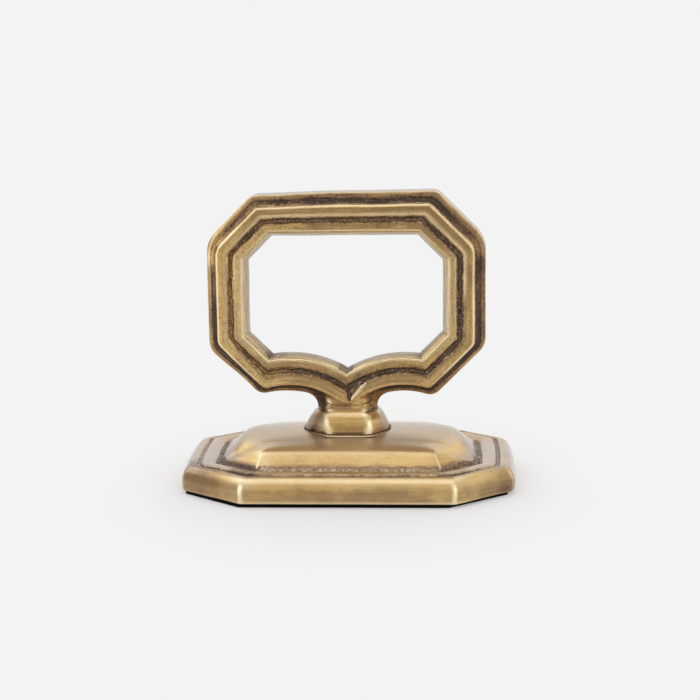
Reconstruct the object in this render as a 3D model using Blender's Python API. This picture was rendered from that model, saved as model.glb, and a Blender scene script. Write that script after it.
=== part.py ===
"""Place card napkin ring: a moulded brass loop on a flared pedestal and a stepped, domed base.

Metres, +Z up. The origin is the middle of the felt pad's underside, X runs along the
loop's width and Y through its opening, with the front at -Y.
"""

import math

import bmesh
import bpy
from mathutils import Vector

MM = 0.001

# Fit between neighbouring pieces
FIT_GAP = 0.3 * MM

# Felt pad
PAD_THICKNESS = 0.6 * MM
PAD_INSET = 0.4 * MM

# Base casting, measured at its widest outline
BASE_WIDTH = 65.0 * MM
BASE_DEPTH = 43.5 * MM
BASE_CORNER_X = 11.6 * MM
BASE_CORNER_Y = 10.0 * MM
RIM_TUCK = 0.2 * MM
RIM_SIDE = 2.4 * MM
RIM_HEIGHT = 4.86 * MM
RIM_WIDTH = 2.85 * MM
LINE_WIDTH = 0.4 * MM
LINE_DEPTH = 0.4 * MM
STEP_WIDTH = 3.0 * MM
STEP_RISE = 0.25 * MM
CREVICE_WIDTH = 0.8 * MM
CREVICE_DEPTH = 0.5 * MM
DOME_RISE = 4.9 * MM
DOME_CROWN = 1.4 * MM
SEAT_DEPTH = 0.45 * MM
BASE_WALL = 2.4 * MM
RIM_WALL = 4.0 * MM
BOSS_DIAMETER = 13.0 * MM

# Pedestal
FOOT_WIDTH = 17.4 * MM
FOOT_DEPTH = 12.0 * MM
FOOT_CORNER = 4.2 * MM
FOOT_EDGE = 0.3 * MM
PEDESTAL_HEIGHT = 4.75 * MM
FLARE_FULLNESS = 1.12

# Neck, where pedestal and loop meet
NECK_WIDTH = 12.2 * MM
NECK_DEPTH = 8.2 * MM
NECK_CORNER = 2.9 * MM
NECK_FILLET = 3.4 * MM

# Loop opening and the double arch under it
OPENING_WIDTH = 39.0 * MM
OPENING_HEIGHT = 25.0 * MM
OPENING_CORNER = 5.0 * MM
OPENING_SIDE = 15.8 * MM
ARCH_RADIUS = 21.4 * MM
ARCH_SPREAD = 11.4 * MM

# Loop moulding, from the opening outwards
LOOP_DEPTH = 9.2 * MM
INNER_ROUND = 0.8 * MM
INNER_BAND = 1.65 * MM
INNER_SETBACK = 0.1 * MM
GROOVE_WIDTH = 0.7 * MM
GROOVE_DEPTH = 0.7 * MM
MAIN_BAND = 2.65 * MM
COVE_WALL_WIDTH = 0.28 * MM
COVE_WALL_DEPTH = 0.69 * MM
COVE_FLOOR_WIDTH = 0.64 * MM
COVE_DEPTH = 1.15 * MM
RIM_FACE_WIDTH = 1.03 * MM
RIM_FRONT_SETBACK = 1.3 * MM
RIM_ROUND_WIDTH = 0.35 * MM
RIM_EDGE_SETBACK = 2.0 * MM
RIM_ZONE_LOWER = 1.1 * MM
RIM_ZONE_ARCH = 0.7 * MM
BAND_FOOT = 1.0 * MM

# Screw, washers and the spigot that centres the loop
SCREW_DIAMETER = 4.0 * MM
SCREW_REACH = 4.0 * MM
SCREW_TIP_ROOM = 0.8 * MM
HEAD_DIAMETER = 8.0 * MM
HEAD_HEIGHT = 2.4 * MM
HEAD_EDGE = 0.5 * MM
HEAD_ROOM = 0.6 * MM
SCREW_POINT = 0.6 * MM
DRIVE_SLOT_WIDTH = 1.0 * MM
DRIVE_SLOT_DEPTH = 1.1 * MM
FLAT_WASHER_DIAMETER = 9.0 * MM
FLAT_WASHER_THICKNESS = 0.8 * MM
SPRING_WASHER_DIAMETER = 7.4 * MM
SPRING_WASHER_THICKNESS = 1.0 * MM
SPRING_WASHER_SPLIT = 1.0 * MM
SPRING_WASHER_LIFT = 0.2 * MM
SPIGOT_DIAMETER = 6.0 * MM
SPIGOT_LENGTH = 1.2 * MM

# Fineness of the round stretches
CURVE_STEPS = 8
ARCH_STEPS = 7
FILLET_STEPS = 4
NECK_END_STEPS = 2
LOWER_STEPS = ARCH_STEPS + FILLET_STEPS + NECK_END_STEPS
FLARE_STEPS = 10
CIRCLE_SIDES = 32
SHARP_ANGLE = math.radians(28)

# Finishes: colour, roughness, metallic
BRASS = ((0.44, 0.30, 0.12), 0.30, 1.0)
STEEL = ((0.55, 0.55, 0.54), 0.40, 1.0)
FELT = ((0.012, 0.012, 0.013), 0.95, 0.0)

# Offsets from the opening: the main band's outer edge, and the loop's edges beyond it
MAIN_EDGE = INNER_ROUND + INNER_BAND + GROOVE_WIDTH + MAIN_BAND
RIM_ZONE = COVE_WALL_WIDTH + COVE_FLOOR_WIDTH + RIM_FACE_WIDTH + RIM_ROUND_WIDTH
LOWER_EDGE_RADIUS = ARCH_RADIUS - MAIN_EDGE - RIM_ZONE_ARCH

# Heights of the stack, from the table up
BASE_Z = PAD_THICKNESS + FIT_GAP
BASE_HEIGHT = RIM_HEIGHT + DOME_RISE
SEAT_Z = BASE_Z + BASE_HEIGHT - SEAT_DEPTH
PEDESTAL_Z = SEAT_Z + FIT_GAP
LOOP_Z = PEDESTAL_Z + PEDESTAL_HEIGHT + FIT_GAP
HEAD_Z = PAD_THICKNESS + HEAD_ROOM
HEAD_TOP_Z = HEAD_Z + HEAD_HEIGHT
SPRING_WASHER_Z = HEAD_TOP_Z + FIT_GAP
SPRING_WASHER_HEIGHT = SPRING_WASHER_THICKNESS + SPRING_WASHER_LIFT
FLAT_WASHER_Z = SPRING_WASHER_Z + SPRING_WASHER_HEIGHT + FIT_GAP
BOSS_Z = FLAT_WASHER_Z + FLAT_WASHER_THICKNESS + FIT_GAP
SCREW_HOLE_RADIUS = SCREW_DIAMETER / 2 + FIT_GAP
CUT_PAST = 2.0 * MM


def clear_scene():
    for old in list(bpy.data.objects):
        bpy.data.objects.remove(old, do_unlink=True)


def make_material(name, colour, roughness, metallic):
    material = bpy.data.materials.new(name)
    material.use_nodes = True
    shader = material.node_tree.nodes["Principled BSDF"]
    shader.inputs["Base Color"].default_value = (*colour, 1.0)
    shader.inputs["Roughness"].default_value = roughness
    shader.inputs["Metallic"].default_value = metallic
    return material


def bridge(bm, rings, wrap=False):
    """Quads between neighbouring rings of points, which all have the same count."""
    loops = [[bm.verts.new(point) for point in ring] for ring in rings]
    pairs = list(zip(loops, loops[1:]))
    if wrap:
        pairs.append((loops[-1], loops[0]))
    for low, high in pairs:
        for i in range(len(low)):
            j = (i + 1) % len(low)
            bm.faces.new((low[i], low[j], high[j], high[i]))
    return loops


def solid_between(rings):
    """A closed solid: bridged rings with a flat cap at each end."""
    bm = bmesh.new()
    loops = bridge(bm, rings)
    bm.faces.new(reversed(loops[0]))
    bm.faces.new(loops[-1])
    bmesh.ops.recalc_face_normals(bm, faces=bm.faces)
    return bm


def ring_around(rings):
    """A closed solid with a hole: bridged rings, the last joined to the first."""
    bm = bmesh.new()
    bridge(bm, rings, wrap=True)
    bmesh.ops.recalc_face_normals(bm, faces=bm.faces)
    return bm


def new_object(name, bm, height, material=None):
    mesh = bpy.data.meshes.new(name)
    bm.to_mesh(mesh)
    bm.free()
    mesh.shade_smooth()
    mesh.set_sharp_from_angle(angle=SHARP_ANGLE)
    made = bpy.data.objects.new(name, mesh)
    made.location.z = height
    bpy.context.scene.collection.objects.link(made)
    if material:
        mesh.materials.append(material)
    else:
        made.hide_render = True
        made.display_type = "WIRE"
    return made


def combine(target, tool, operation):
    modifier = target.modifiers.new(tool.name, "BOOLEAN")
    modifier.operation = operation
    modifier.solver = "EXACT"
    modifier.object = tool


def circle(radius, z):
    angles = [2 * math.pi * side / CIRCLE_SIDES for side in range(CIRCLE_SIDES)]
    return [Vector((radius * math.cos(angle), radius * math.sin(angle), z)) for angle in angles]


def turned(profile):
    """A solid of revolution from (radius, z) pairs that run from its bottom to its top."""
    return solid_between([circle(radius, z) for radius, z in profile])


def octagon(half_x, half_y, corner_x, corner_y, z):
    """A rectangle with cut corners, counter-clockwise from the right end of the front edge."""
    edge_x = half_x - corner_x
    edge_y = half_y - corner_y
    quarter = [(edge_x, -half_y), (half_x, -edge_y)]
    right = quarter + [(x, -y) for x, y in reversed(quarter)]
    plan = right + [(-x, y) for x, y in reversed(right)]
    return [Vector((x, y, z)) for x, y in plan]


def base_sizes(inset):
    """Half sizes and corner legs of the base outline moved inwards by the same amount all round."""
    slant = math.hypot(BASE_CORNER_X, BASE_CORNER_Y)
    legs_lost_x = inset * (BASE_CORNER_X + BASE_CORNER_Y - slant) / BASE_CORNER_Y
    legs_lost_y = inset * (BASE_CORNER_X + BASE_CORNER_Y - slant) / BASE_CORNER_X
    return (
        BASE_WIDTH / 2 - inset,
        BASE_DEPTH / 2 - inset,
        BASE_CORNER_X - legs_lost_x,
        BASE_CORNER_Y - legs_lost_y,
    )


def base_ring(inset, z):
    return octagon(*base_sizes(inset), z)


def dome_rings(inset, z, rise):
    """A cushion dome: the inset outline shrinks along a quarter ellipse to the level crown."""
    half_x, half_y, corner_x, corner_y = base_sizes(inset)
    shoulder = half_y - DOME_CROWN / 2
    rings = []
    for step in range(CURVE_STEPS + 1):
        angle = math.pi / 2 * step / CURVE_STEPS
        inward = shoulder * (1 - math.cos(angle))
        share = (half_y - inward) / half_y
        height = z + rise * math.sin(angle)
        rings.append(octagon(half_x - inward, half_y - inward, corner_x * share, corner_y * share, height))
    return rings


def make_felt_pad(material):
    rings = [base_ring(RIM_TUCK + PAD_INSET, z) for z in (0.0, PAD_THICKNESS)]
    return new_object("felt_pad", solid_between(rings), 0.0, material)


def make_base(material):
    rings = [base_ring(RIM_TUCK, 0.0)]
    for step in range(CURVE_STEPS + 1):
        angle = math.pi / 2 * step / CURVE_STEPS
        inset = RIM_WIDTH * (1 - math.cos(angle))
        rings.append(base_ring(inset, RIM_SIDE + (RIM_HEIGHT - RIM_SIDE) * math.sin(angle)))
    rings.append(base_ring(RIM_WIDTH + LINE_WIDTH / 2, RIM_HEIGHT - LINE_DEPTH))
    step_start = RIM_WIDTH + LINE_WIDTH
    step_end = step_start + STEP_WIDTH
    rings.append(base_ring(step_start, RIM_HEIGHT + STEP_RISE))
    rings.append(base_ring(step_end, RIM_HEIGHT + STEP_RISE))
    rings.append(base_ring(step_end + CREVICE_WIDTH / 2, RIM_HEIGHT - CREVICE_DEPTH))
    dome_start = step_end + CREVICE_WIDTH
    rings += dome_rings(dome_start, RIM_HEIGHT, DOME_RISE)
    base = new_object("base", solid_between(rings), BASE_Z, material)

    ceiling = RIM_HEIGHT - BASE_WALL
    hollow = [base_ring(RIM_WALL, -CUT_PAST), base_ring(RIM_WALL, ceiling)]
    hollow += dome_rings(dome_start + BASE_WALL, ceiling, DOME_RISE)
    combine(base, new_object("base_hollow", solid_between(hollow), BASE_Z), "DIFFERENCE")

    boss_top = BASE_Z + BASE_HEIGHT - BASE_WALL / 2
    boss = turned([(BOSS_DIAMETER / 2, BOSS_Z), (BOSS_DIAMETER / 2, boss_top)])
    combine(base, new_object("base_boss", boss, 0.0), "UNION")

    seat_sizes = (FOOT_WIDTH / 2 + FIT_GAP, FOOT_DEPTH / 2 + FIT_GAP, FOOT_CORNER, FOOT_CORNER)
    seat = solid_between([octagon(*seat_sizes, z) for z in (SEAT_Z, SEAT_Z + CUT_PAST)])
    combine(base, new_object("pedestal_seat", seat, 0.0), "DIFFERENCE")

    hole = turned([(SCREW_HOLE_RADIUS, BOSS_Z - CUT_PAST), (SCREW_HOLE_RADIUS, SEAT_Z + CUT_PAST)])
    combine(base, new_object("base_screw_hole", hole, 0.0), "DIFFERENCE")
    return base


def make_pedestal(material):
    foot = Vector((FOOT_WIDTH / 2, FOOT_DEPTH / 2, FOOT_CORNER))
    neck = Vector((NECK_WIDTH / 2, NECK_DEPTH / 2, NECK_CORNER))
    rings = [octagon(foot.x - FOOT_EDGE, foot.y - FOOT_EDGE, foot.z, foot.z, 0.0)]
    for step in range(FLARE_STEPS + 1):
        share = step / FLARE_STEPS
        flare = (1 + math.cos(math.pi * share**FLARE_FULLNESS)) / 2
        half_x, half_y, corner = neck.lerp(foot, flare)
        z = FOOT_EDGE + (PEDESTAL_HEIGHT - FOOT_EDGE) * share
        rings.append(octagon(half_x, half_y, corner, corner, z))
    pedestal = new_object("pedestal", solid_between(rings), PEDESTAL_Z, material)

    socket_radius = SPIGOT_DIAMETER / 2 + FIT_GAP
    socket_floor = PEDESTAL_HEIGHT - SPIGOT_LENGTH - FIT_GAP
    hole = [
        (SCREW_HOLE_RADIUS, -CUT_PAST),
        (SCREW_HOLE_RADIUS, socket_floor),
        (socket_radius, socket_floor),
        (socket_radius, PEDESTAL_HEIGHT + CUT_PAST),
    ]
    combine(pedestal, new_object("pedestal_screw_hole", turned(hole), PEDESTAL_Z), "DIFFERENCE")
    return pedestal


def arch_centre():
    """Centre of the right arch, whose lower edge meets the neck in a fillet that ends at z = 0."""
    fillet_x = NECK_WIDTH / 2 + NECK_FILLET
    rise = math.sqrt((LOWER_EDGE_RADIUS - NECK_FILLET) ** 2 - (fillet_x - ARCH_SPREAD) ** 2)
    return Vector((ARCH_SPREAD, -rise))


def frame_corners(offset, offset_lower):
    """The three upper right corners of an outline at this offset from the opening."""
    centre = arch_centre()
    top = centre.y + ARCH_RADIUS + OPENING_HEIGHT
    side = OPENING_WIDTH / 2
    upper_sum = side + top - OPENING_CORNER + offset * math.sqrt(2)
    side_foot = top - OPENING_CORNER - OPENING_SIDE
    lower_difference = side - side_foot + offset_lower * math.sqrt(2)
    x = side + offset
    z = top + offset
    corners = [Vector((upper_sum - z, z)), Vector((x, upper_sum - x)), Vector((x, x - lower_difference))]
    return corners, lower_difference


def arch_tip(radius, lower_difference):
    """Where the lower slanted side, x - z = lower_difference, meets the arch circle of this radius."""
    centre = arch_centre()
    gap = lower_difference - centre.x + centre.y
    rise = (-gap + math.sqrt(2 * radius**2 - gap**2)) / 2
    return Vector((centre.y + rise + lower_difference, centre.y + rise))


def arch_points(radius, tip):
    """Points along the right arch from the tip to the middle plane of the loop."""
    centre = arch_centre()
    start = math.atan2(tip.y - centre.y, tip.x - centre.x)
    end = math.pi - math.acos(centre.x / radius)
    points = []
    for step in range(LOWER_STEPS + 1):
        angle = start + (end - start) * step / LOWER_STEPS
        points.append(centre + radius * Vector((math.cos(angle), math.sin(angle))))
    points[-1].x = 0.0
    return points


def neck_points(tip):
    """The loop's lower edge: along the arch, round the fillet and across the neck's end."""
    centre = arch_centre()
    fillet = Vector((NECK_WIDTH / 2 + NECK_FILLET, 0.0))
    start = math.atan2(tip.y - centre.y, tip.x - centre.x)
    touch = math.atan2(fillet.y - centre.y, fillet.x - centre.x)
    points = []
    for step in range(ARCH_STEPS + 1):
        angle = start + (touch - start) * step / ARCH_STEPS
        points.append(centre + LOWER_EDGE_RADIUS * Vector((math.cos(angle), math.sin(angle))))
    for step in range(1, FILLET_STEPS + 1):
        angle = touch + (math.pi - touch) * step / FILLET_STEPS
        points.append(fillet + NECK_FILLET * Vector((math.cos(angle), math.sin(angle))))
    points.append(Vector((NECK_WIDTH / 2 - NECK_CORNER, 0.0)))
    points.append(Vector((0.0, 0.0)))
    return points


def moulding_lines():
    """(offset from the opening, setback from the front plane) of each moulding line, inside to outside."""
    band = INNER_ROUND
    groove = band + INNER_BAND
    main = groove + GROOVE_WIDTH
    cove = MAIN_EDGE + COVE_WALL_WIDTH
    rim = cove + COVE_FLOOR_WIDTH
    corner = INNER_ROUND * (1 - math.sqrt(0.5))
    return [
        (0.0, INNER_ROUND + INNER_SETBACK),
        (corner, corner + INNER_SETBACK),
        (band, INNER_SETBACK),
        (groove, INNER_SETBACK),
        (groove + GROOVE_WIDTH / 2, GROOVE_DEPTH),
        (main, 0.0),
        (MAIN_EDGE, 0.0),
        (cove, COVE_WALL_DEPTH),
        (rim, COVE_DEPTH),
        (rim + RIM_FACE_WIDTH, RIM_FRONT_SETBACK),
        (MAIN_EDGE + RIM_ZONE, RIM_EDGE_SETBACK),
    ]


def neck_setback(share, step):
    """Depth lost on the neck, which has cut corners in plan, at a share of the way to its side."""
    front = (LOOP_DEPTH - NECK_DEPTH) / 2
    corner_step = ARCH_STEPS + FILLET_STEPS
    return front + NECK_CORNER * share if step <= corner_step else front


def outline(offset, setback):
    """One closed moulding line on the front of the loop, starting at the top right corner."""
    share = max(0.0, (offset - MAIN_EDGE) / RIM_ZONE)
    inside = min(offset, MAIN_EDGE)
    corners, difference = frame_corners(offset, inside + RIM_ZONE_LOWER * share)
    radius = ARCH_RADIUS - inside
    band = arch_points(radius, arch_tip(radius, difference))
    if offset >= MAIN_EDGE:
        band = [Vector((point.x, max(point.y, BAND_FOOT))) for point in band]
    lower = neck_points(arch_tip(LOWER_EDGE_RADIUS, difference))
    half = [Vector((p.x, setback - LOOP_DEPTH / 2, p.y)) for p in corners]
    for step, (upper, under) in enumerate(zip(band, lower)):
        place = upper.lerp(under, share)
        on_neck = min(1.0, max(0.0, (step - ARCH_STEPS) / FILLET_STEPS)) if share else 0.0
        back = setback + (neck_setback(share, step) - setback) * on_neck
        half.append(Vector((place.x, back - LOOP_DEPTH / 2, place.y)))
    mirrored = [Vector((-p.x, p.y, p.z)) for p in reversed(half[:-1])]
    return half + mirrored


def make_loop(material):
    front = [outline(*line) for line in moulding_lines()]
    back = [[Vector((p.x, -p.y, p.z)) for p in ring] for ring in reversed(front)]
    loop = new_object("loop", ring_around(front + back), LOOP_Z, material)

    spigot_radius = SPIGOT_DIAMETER / 2
    spigot = turned([(spigot_radius, -SPIGOT_LENGTH), (spigot_radius, BAND_FOOT)])
    combine(loop, new_object("loop_spigot", spigot, LOOP_Z), "UNION")

    depth = SCREW_REACH + SCREW_TIP_ROOM
    hole = turned([(SCREW_HOLE_RADIUS, -SPIGOT_LENGTH - CUT_PAST), (SCREW_HOLE_RADIUS, depth)])
    combine(loop, new_object("loop_screw_hole", hole, LOOP_Z), "DIFFERENCE")
    return loop


def make_screw(material):
    head_radius = HEAD_DIAMETER / 2
    shank_radius = SCREW_DIAMETER / 2
    tip = LOOP_Z + SCREW_REACH - HEAD_Z
    profile = [
        (head_radius - HEAD_EDGE, 0.0),
        (head_radius, HEAD_EDGE),
        (head_radius, HEAD_HEIGHT),
        (shank_radius, HEAD_HEIGHT),
        (shank_radius, tip - SCREW_POINT),
        (shank_radius - SCREW_POINT, tip),
    ]
    screw = new_object("clamp_screw", turned(profile), HEAD_Z, material)
    bm = bmesh.new()
    bmesh.ops.create_cube(bm, size=1.0)
    size = Vector((HEAD_DIAMETER + CUT_PAST, DRIVE_SLOT_WIDTH, 2 * DRIVE_SLOT_DEPTH))
    bmesh.ops.scale(bm, vec=size, verts=bm.verts)
    combine(screw, new_object("drive_slot", bm, HEAD_Z), "DIFFERENCE")
    return screw


def make_flat_washer(material):
    outer = FLAT_WASHER_DIAMETER / 2
    section = [(SCREW_HOLE_RADIUS, 0.0), (outer, 0.0), (outer, FLAT_WASHER_THICKNESS)]
    section.append((SCREW_HOLE_RADIUS, FLAT_WASHER_THICKNESS))
    washer = ring_around([circle(radius, z) for radius, z in section])
    return new_object("flat_washer", washer, FLAT_WASHER_Z, material)


def make_spring_washer(material):
    outer = SPRING_WASHER_DIAMETER / 2
    half_split = SPRING_WASHER_SPLIT / outer / 2
    rings = []
    for step in range(CIRCLE_SIDES + 1):
        share = step / CIRCLE_SIDES
        angle = half_split + (2 * math.pi - 2 * half_split) * share
        direction = Vector((math.cos(angle), math.sin(angle), 0.0))
        lift = Vector((0.0, 0.0, SPRING_WASHER_LIFT * share))
        top = lift + Vector((0.0, 0.0, SPRING_WASHER_THICKNESS))
        near = direction * SCREW_HOLE_RADIUS
        far = direction * outer
        rings.append([near + lift, far + lift, far + top, near + top])
    return new_object("spring_washer", solid_between(rings), SPRING_WASHER_Z, material)


def main():
    clear_scene()
    pieces = [
        make_loop(make_material("loop_brass", *BRASS)),
        make_pedestal(make_material("pedestal_brass", *BRASS)),
        make_base(make_material("base_brass", *BRASS)),
        make_felt_pad(make_material("black_felt", *FELT)),
        make_screw(make_material("screw_steel", *STEEL)),
        make_flat_washer(make_material("washer_steel", *STEEL)),
        make_spring_washer(make_material("spring_steel", *STEEL)),
    ]
    stand = bpy.data.objects.new("napkin_ring", None)
    bpy.context.scene.collection.objects.link(stand)
    for piece in pieces:
        piece.parent = stand


main()
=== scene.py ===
import math

import bpy
import numpy as np
from mathutils import Matrix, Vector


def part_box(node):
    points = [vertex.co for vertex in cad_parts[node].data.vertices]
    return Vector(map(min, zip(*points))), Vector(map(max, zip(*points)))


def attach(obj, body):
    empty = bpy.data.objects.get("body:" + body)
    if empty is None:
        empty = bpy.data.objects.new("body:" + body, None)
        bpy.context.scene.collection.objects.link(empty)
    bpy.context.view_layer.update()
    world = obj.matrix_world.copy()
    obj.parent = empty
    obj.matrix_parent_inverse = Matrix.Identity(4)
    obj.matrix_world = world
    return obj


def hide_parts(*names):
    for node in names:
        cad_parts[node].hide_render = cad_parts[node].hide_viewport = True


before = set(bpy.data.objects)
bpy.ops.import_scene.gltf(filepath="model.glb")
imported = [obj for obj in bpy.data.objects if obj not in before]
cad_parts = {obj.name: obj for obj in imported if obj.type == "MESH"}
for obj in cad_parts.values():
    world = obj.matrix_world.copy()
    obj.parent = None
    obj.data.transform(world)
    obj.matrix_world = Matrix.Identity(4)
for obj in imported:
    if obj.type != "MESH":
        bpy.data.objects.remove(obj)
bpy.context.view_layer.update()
mm = 0.001  # shapes below are in millimetres until surface() writes them


def boxOf(node):
    # two corners of a solid's box, in millimetres
    low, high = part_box(node)
    return np.array(low) / mm, np.array(high) / mm


baseLow, baseHigh = boxOf("base")
padTop, pedestalTop, loopTop = (boxOf(node)[1][2] for node in ("felt_pad", "pedestal", "loop"))
fitGap = baseLow[2] - padTop  # the solids lie this far apart, the dressed pieces close it
neckZ = pedestalTop + fitGap
print("frame: base", (baseHigh - baseLow).round(2), "loop top", loopTop.round(2))


# Tools for surfaces

def ramp(value, none, full):
    # smoothstep: 0 at and beyond none, 1 at and beyond full, eased between; full may be the lower one
    share = np.clip((value - none) / (full - none), 0, 1)
    return share * share * (3 - 2 * share)


def within(value, limits):
    # a ramp between none and full and, where there are four limits, another from full to none
    share = ramp(value, *limits[:2])
    return share if len(limits) == 2 else share * ramp(value, limits[3], limits[2])


def patch(where, limits):
    # how far each point lies in a patch: the product of within() over the coordinates that limit it
    share = 1.0
    for name, numbers in limits.items():
        share = share * within(where[name], numbers)
    return share


def toned(shares, levels):
    # the sum of levels, each times the share of its patch
    return sum(level * shares[name] for name, level in levels.items())


def bell(value, middle, width):
    # exp of minus the squared distance from the middle, in widths
    return np.exp(-(((value - middle) / width) ** 2))


def softMin(a, b, width):
    # the lower of two heights, rounded over this width where they cross
    return (a + b - np.sqrt((a - b) ** 2 + width**2)) / 2


def lumps(points, size, seed):
    # value noise from -1 to 1: random numbers on a lattice of this cell size, eased between corners
    side = 32
    table = np.random.default_rng(seed).uniform(-1, 1, (side, side, side))
    place = points / size
    cell = np.floor(place).astype(int)
    ease = place - cell
    ease = ease * ease * (3 - 2 * ease)
    total = np.zeros(points.shape[:-1])
    for corner in np.ndindex(2, 2, 2):
        weight = np.where(corner, ease, 1 - ease).prod(axis=-1)
        i, j, k = np.moveaxis((cell + corner) % side, -1, 0)
        total += weight * table[i, j, k]
    return total


def bentPath(corners, cuts, runs, bend):
    # a path through corners (..., k, columns): straight runs, and at each inner corner a quadratic
    # curve that leaves the runs its cut length from the corner; only the first two columns are lengths
    corners = np.asarray(corners, float)
    cuts = np.broadcast_to(np.asarray(cuts, float), corners.shape[:-1])
    legs = np.diff(corners, axis=-2)
    lengths = np.maximum(np.linalg.norm(legs[..., :2], axis=-1), 1e-9)
    starts = corners[..., :-1, :] + legs * (cuts[..., :-1] / lengths)[..., None]
    ends = corners[..., 1:, :] - legs * (cuts[..., 1:] / lengths)[..., None]
    pieces = []
    last = legs.shape[-2] - 1
    for leg, count in enumerate(runs):
        t = np.linspace(0, 1, count, endpoint=leg == last)[:, None]
        pieces.append(starts[..., leg, None, :] * (1 - t) + ends[..., leg, None, :] * t)
        if leg < last:
            t = np.linspace(0, 1, bend, endpoint=False)[:, None]
            middle = corners[..., leg + 1, None, :]
            sweep = ends[..., leg, None, :] * (1 - t) ** 2 + middle * 2 * t * (1 - t)
            pieces.append(sweep + starts[..., leg + 1, None, :] * t * t)
    return np.concatenate(pieces, axis=-2)


def normalsOf(grid):
    # unit normals of a grid that closes both ways: the cross product of its central differences
    along = np.roll(grid, -1, axis=1) - np.roll(grid, 1, axis=1)
    across = np.roll(grid, -1, axis=0) - np.roll(grid, 1, axis=0)
    normal = np.cross(along, across)
    normal /= np.maximum(np.linalg.norm(normal, axis=-1, keepdims=True), 1e-12)
    middle = grid.reshape(-1, 3).mean(axis=0)
    volume = np.einsum("ijk,ijk->", grid - middle, np.cross(along, across))
    return normal if volume > 0 else -normal


def surface(name, grid, marks, finish, capped=False):
    # quads over a grid (rows, stations, 3) whose stations close; its rows close too, or, where capped,
    # a fan shuts each end; the flow map holds lengths along and across the grid, in metres
    rows, count = grid.shape[:2]
    spans = rows - 1 if capped else rows
    i, j = np.meshgrid(np.arange(spans), np.arange(count), indexing="ij")
    nextRow, nextStation = (i + 1) % rows, (j + 1) % count
    ring, nextRing = i * count, nextRow * count
    quads = np.stack([ring + j, ring + nextStation, nextRing + nextStation, nextRing + j], axis=-1)
    quads = quads.reshape(-1, 4)
    points = grid.reshape(-1, 3)
    a, b, c, d = (points[quads[:, k]] for k in range(4))
    outward = np.einsum("ij,ij->", a - points.mean(axis=0), np.cross(c - a, d - b)) > 0
    order = [0, 1, 2, 3] if outward else [0, 3, 2, 1]
    faces = quads[:, order].tolist()

    stepAlong = np.linalg.norm(np.roll(grid, -1, axis=1) - grid, axis=-1).mean(axis=0)
    stepAcross = np.linalg.norm(np.roll(grid, -1, axis=0) - grid, axis=-1).mean(axis=1)
    along = np.concatenate([[0], np.cumsum(stepAlong)])
    across = np.concatenate([[0], np.cumsum(stepAcross)])
    flow = np.stack(
        [
            np.stack([along[j], along[j + 1], along[j + 1], along[j]], axis=-1),
            np.stack([across[i], across[i], across[i + 1], across[i + 1]], axis=-1),
        ],
        axis=-1,
    ).reshape(-1, 4, 2)[:, order]
    flow = flow.reshape(-1, 2)
    if capped:
        poles = np.stack([grid[0].mean(axis=0), grid[-1].mean(axis=0)])
        station = np.arange(count)
        after = (station + 1) % count
        first = np.stack([station, np.full(count, rows * count), after], axis=-1)
        final = np.stack([station, after, np.full(count, rows * count + 1)], axis=-1)
        final[:, :2] += (rows - 1) * count
        turn = [0, 1, 2] if outward else [0, 2, 1]
        faces += first[:, turn].tolist() + final[:, turn].tolist()
        points = np.concatenate([points, poles])
        flow = np.concatenate([flow, np.zeros((2 * count * 3, 2))])

    mesh = bpy.data.meshes.new(name)
    mesh.from_pydata((points * mm).tolist(), [], faces)
    mesh.uv_layers.new(name="flow").data.foreach_set("uv", (flow * mm).ravel())
    for mark, values in marks.items():
        flat = np.broadcast_to(values, (rows, count)).ravel()
        flat = np.concatenate([flat, np.zeros(len(points) - rows * count)])
        mesh.attributes.new(mark, "FLOAT", "POINT").data.foreach_set("value", flat)
    mesh.shade_smooth()
    mesh.materials.append(finish)
    made = bpy.data.objects.new(name, mesh)
    bpy.context.scene.collection.objects.link(made)
    print(f"{name}: {len(faces)} faces")
    return made


# Tools for finishes

class Wire:
    # a socket that adds Math nodes when it is used in an expression
    def __init__(self, tree, socket=None):
        self.tree = tree
        self.socket = socket

    def node(self, kind, settings=None, sockets=None, output=0):
        made = self.tree.nodes.new(kind)
        for name, value in (settings or {}).items():
            setattr(made, name, value)
        for name, value in (sockets or {}).items():
            if isinstance(value, Wire):
                self.tree.links.new(value.socket, made.inputs[name])
            else:
                made.inputs[name].default_value = value
        return Wire(self.tree, made.outputs[output])

    def math(self, operation, *values):
        return self.node("ShaderNodeMath", {"operation": operation}, dict(enumerate(values)))

    def vector(self, operation, *values, output=0):
        return self.node("ShaderNodeVectorMath", {"operation": operation}, dict(enumerate(values)), output)

    def __add__(self, other):
        return self.math("ADD", self, other)

    def __sub__(self, other):
        return self.math("SUBTRACT", self, other)

    def __mul__(self, other):
        return self.math("MULTIPLY", self, other)

    def __rsub__(self, other):
        return self.math("SUBTRACT", other, self)

    __radd__ = __add__
    __rmul__ = __mul__

    def eased(self, low, high):
        # smoothstep from low to high
        values = {"Value": self, "From Min": low, "From Max": high}
        return self.node("ShaderNodeMapRange", {"interpolation_type": "SMOOTHSTEP"}, values)

    def noise(self, scale, detail=2.0, roughness=0.5):
        values = {"Vector": self, "Scale": scale, "Detail": detail, "Roughness": roughness}
        return self.node("ShaderNodeTexNoise", {}, values)

    def stretched(self, factors):
        return self.node("ShaderNodeMapping", {}, {"Vector": self, "Scale": factors})

    def relief(self, height, strength, distance):
        values = {"Height": height, "Strength": strength, "Distance": distance}
        return self.node("ShaderNodeBump", {}, values)

    def blend(self, first, second):
        # this value mixes two colours
        return self.node("ShaderNodeMix", {"data_type": "RGBA"}, {0: self, 6: first, 7: second}, 2)


def newFinish(name):
    finish = bpy.data.materials.new(name)
    finish.use_nodes = True
    tree = finish.node_tree
    return finish, Wire(tree), tree.nodes["Principled BSDF"]


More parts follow.
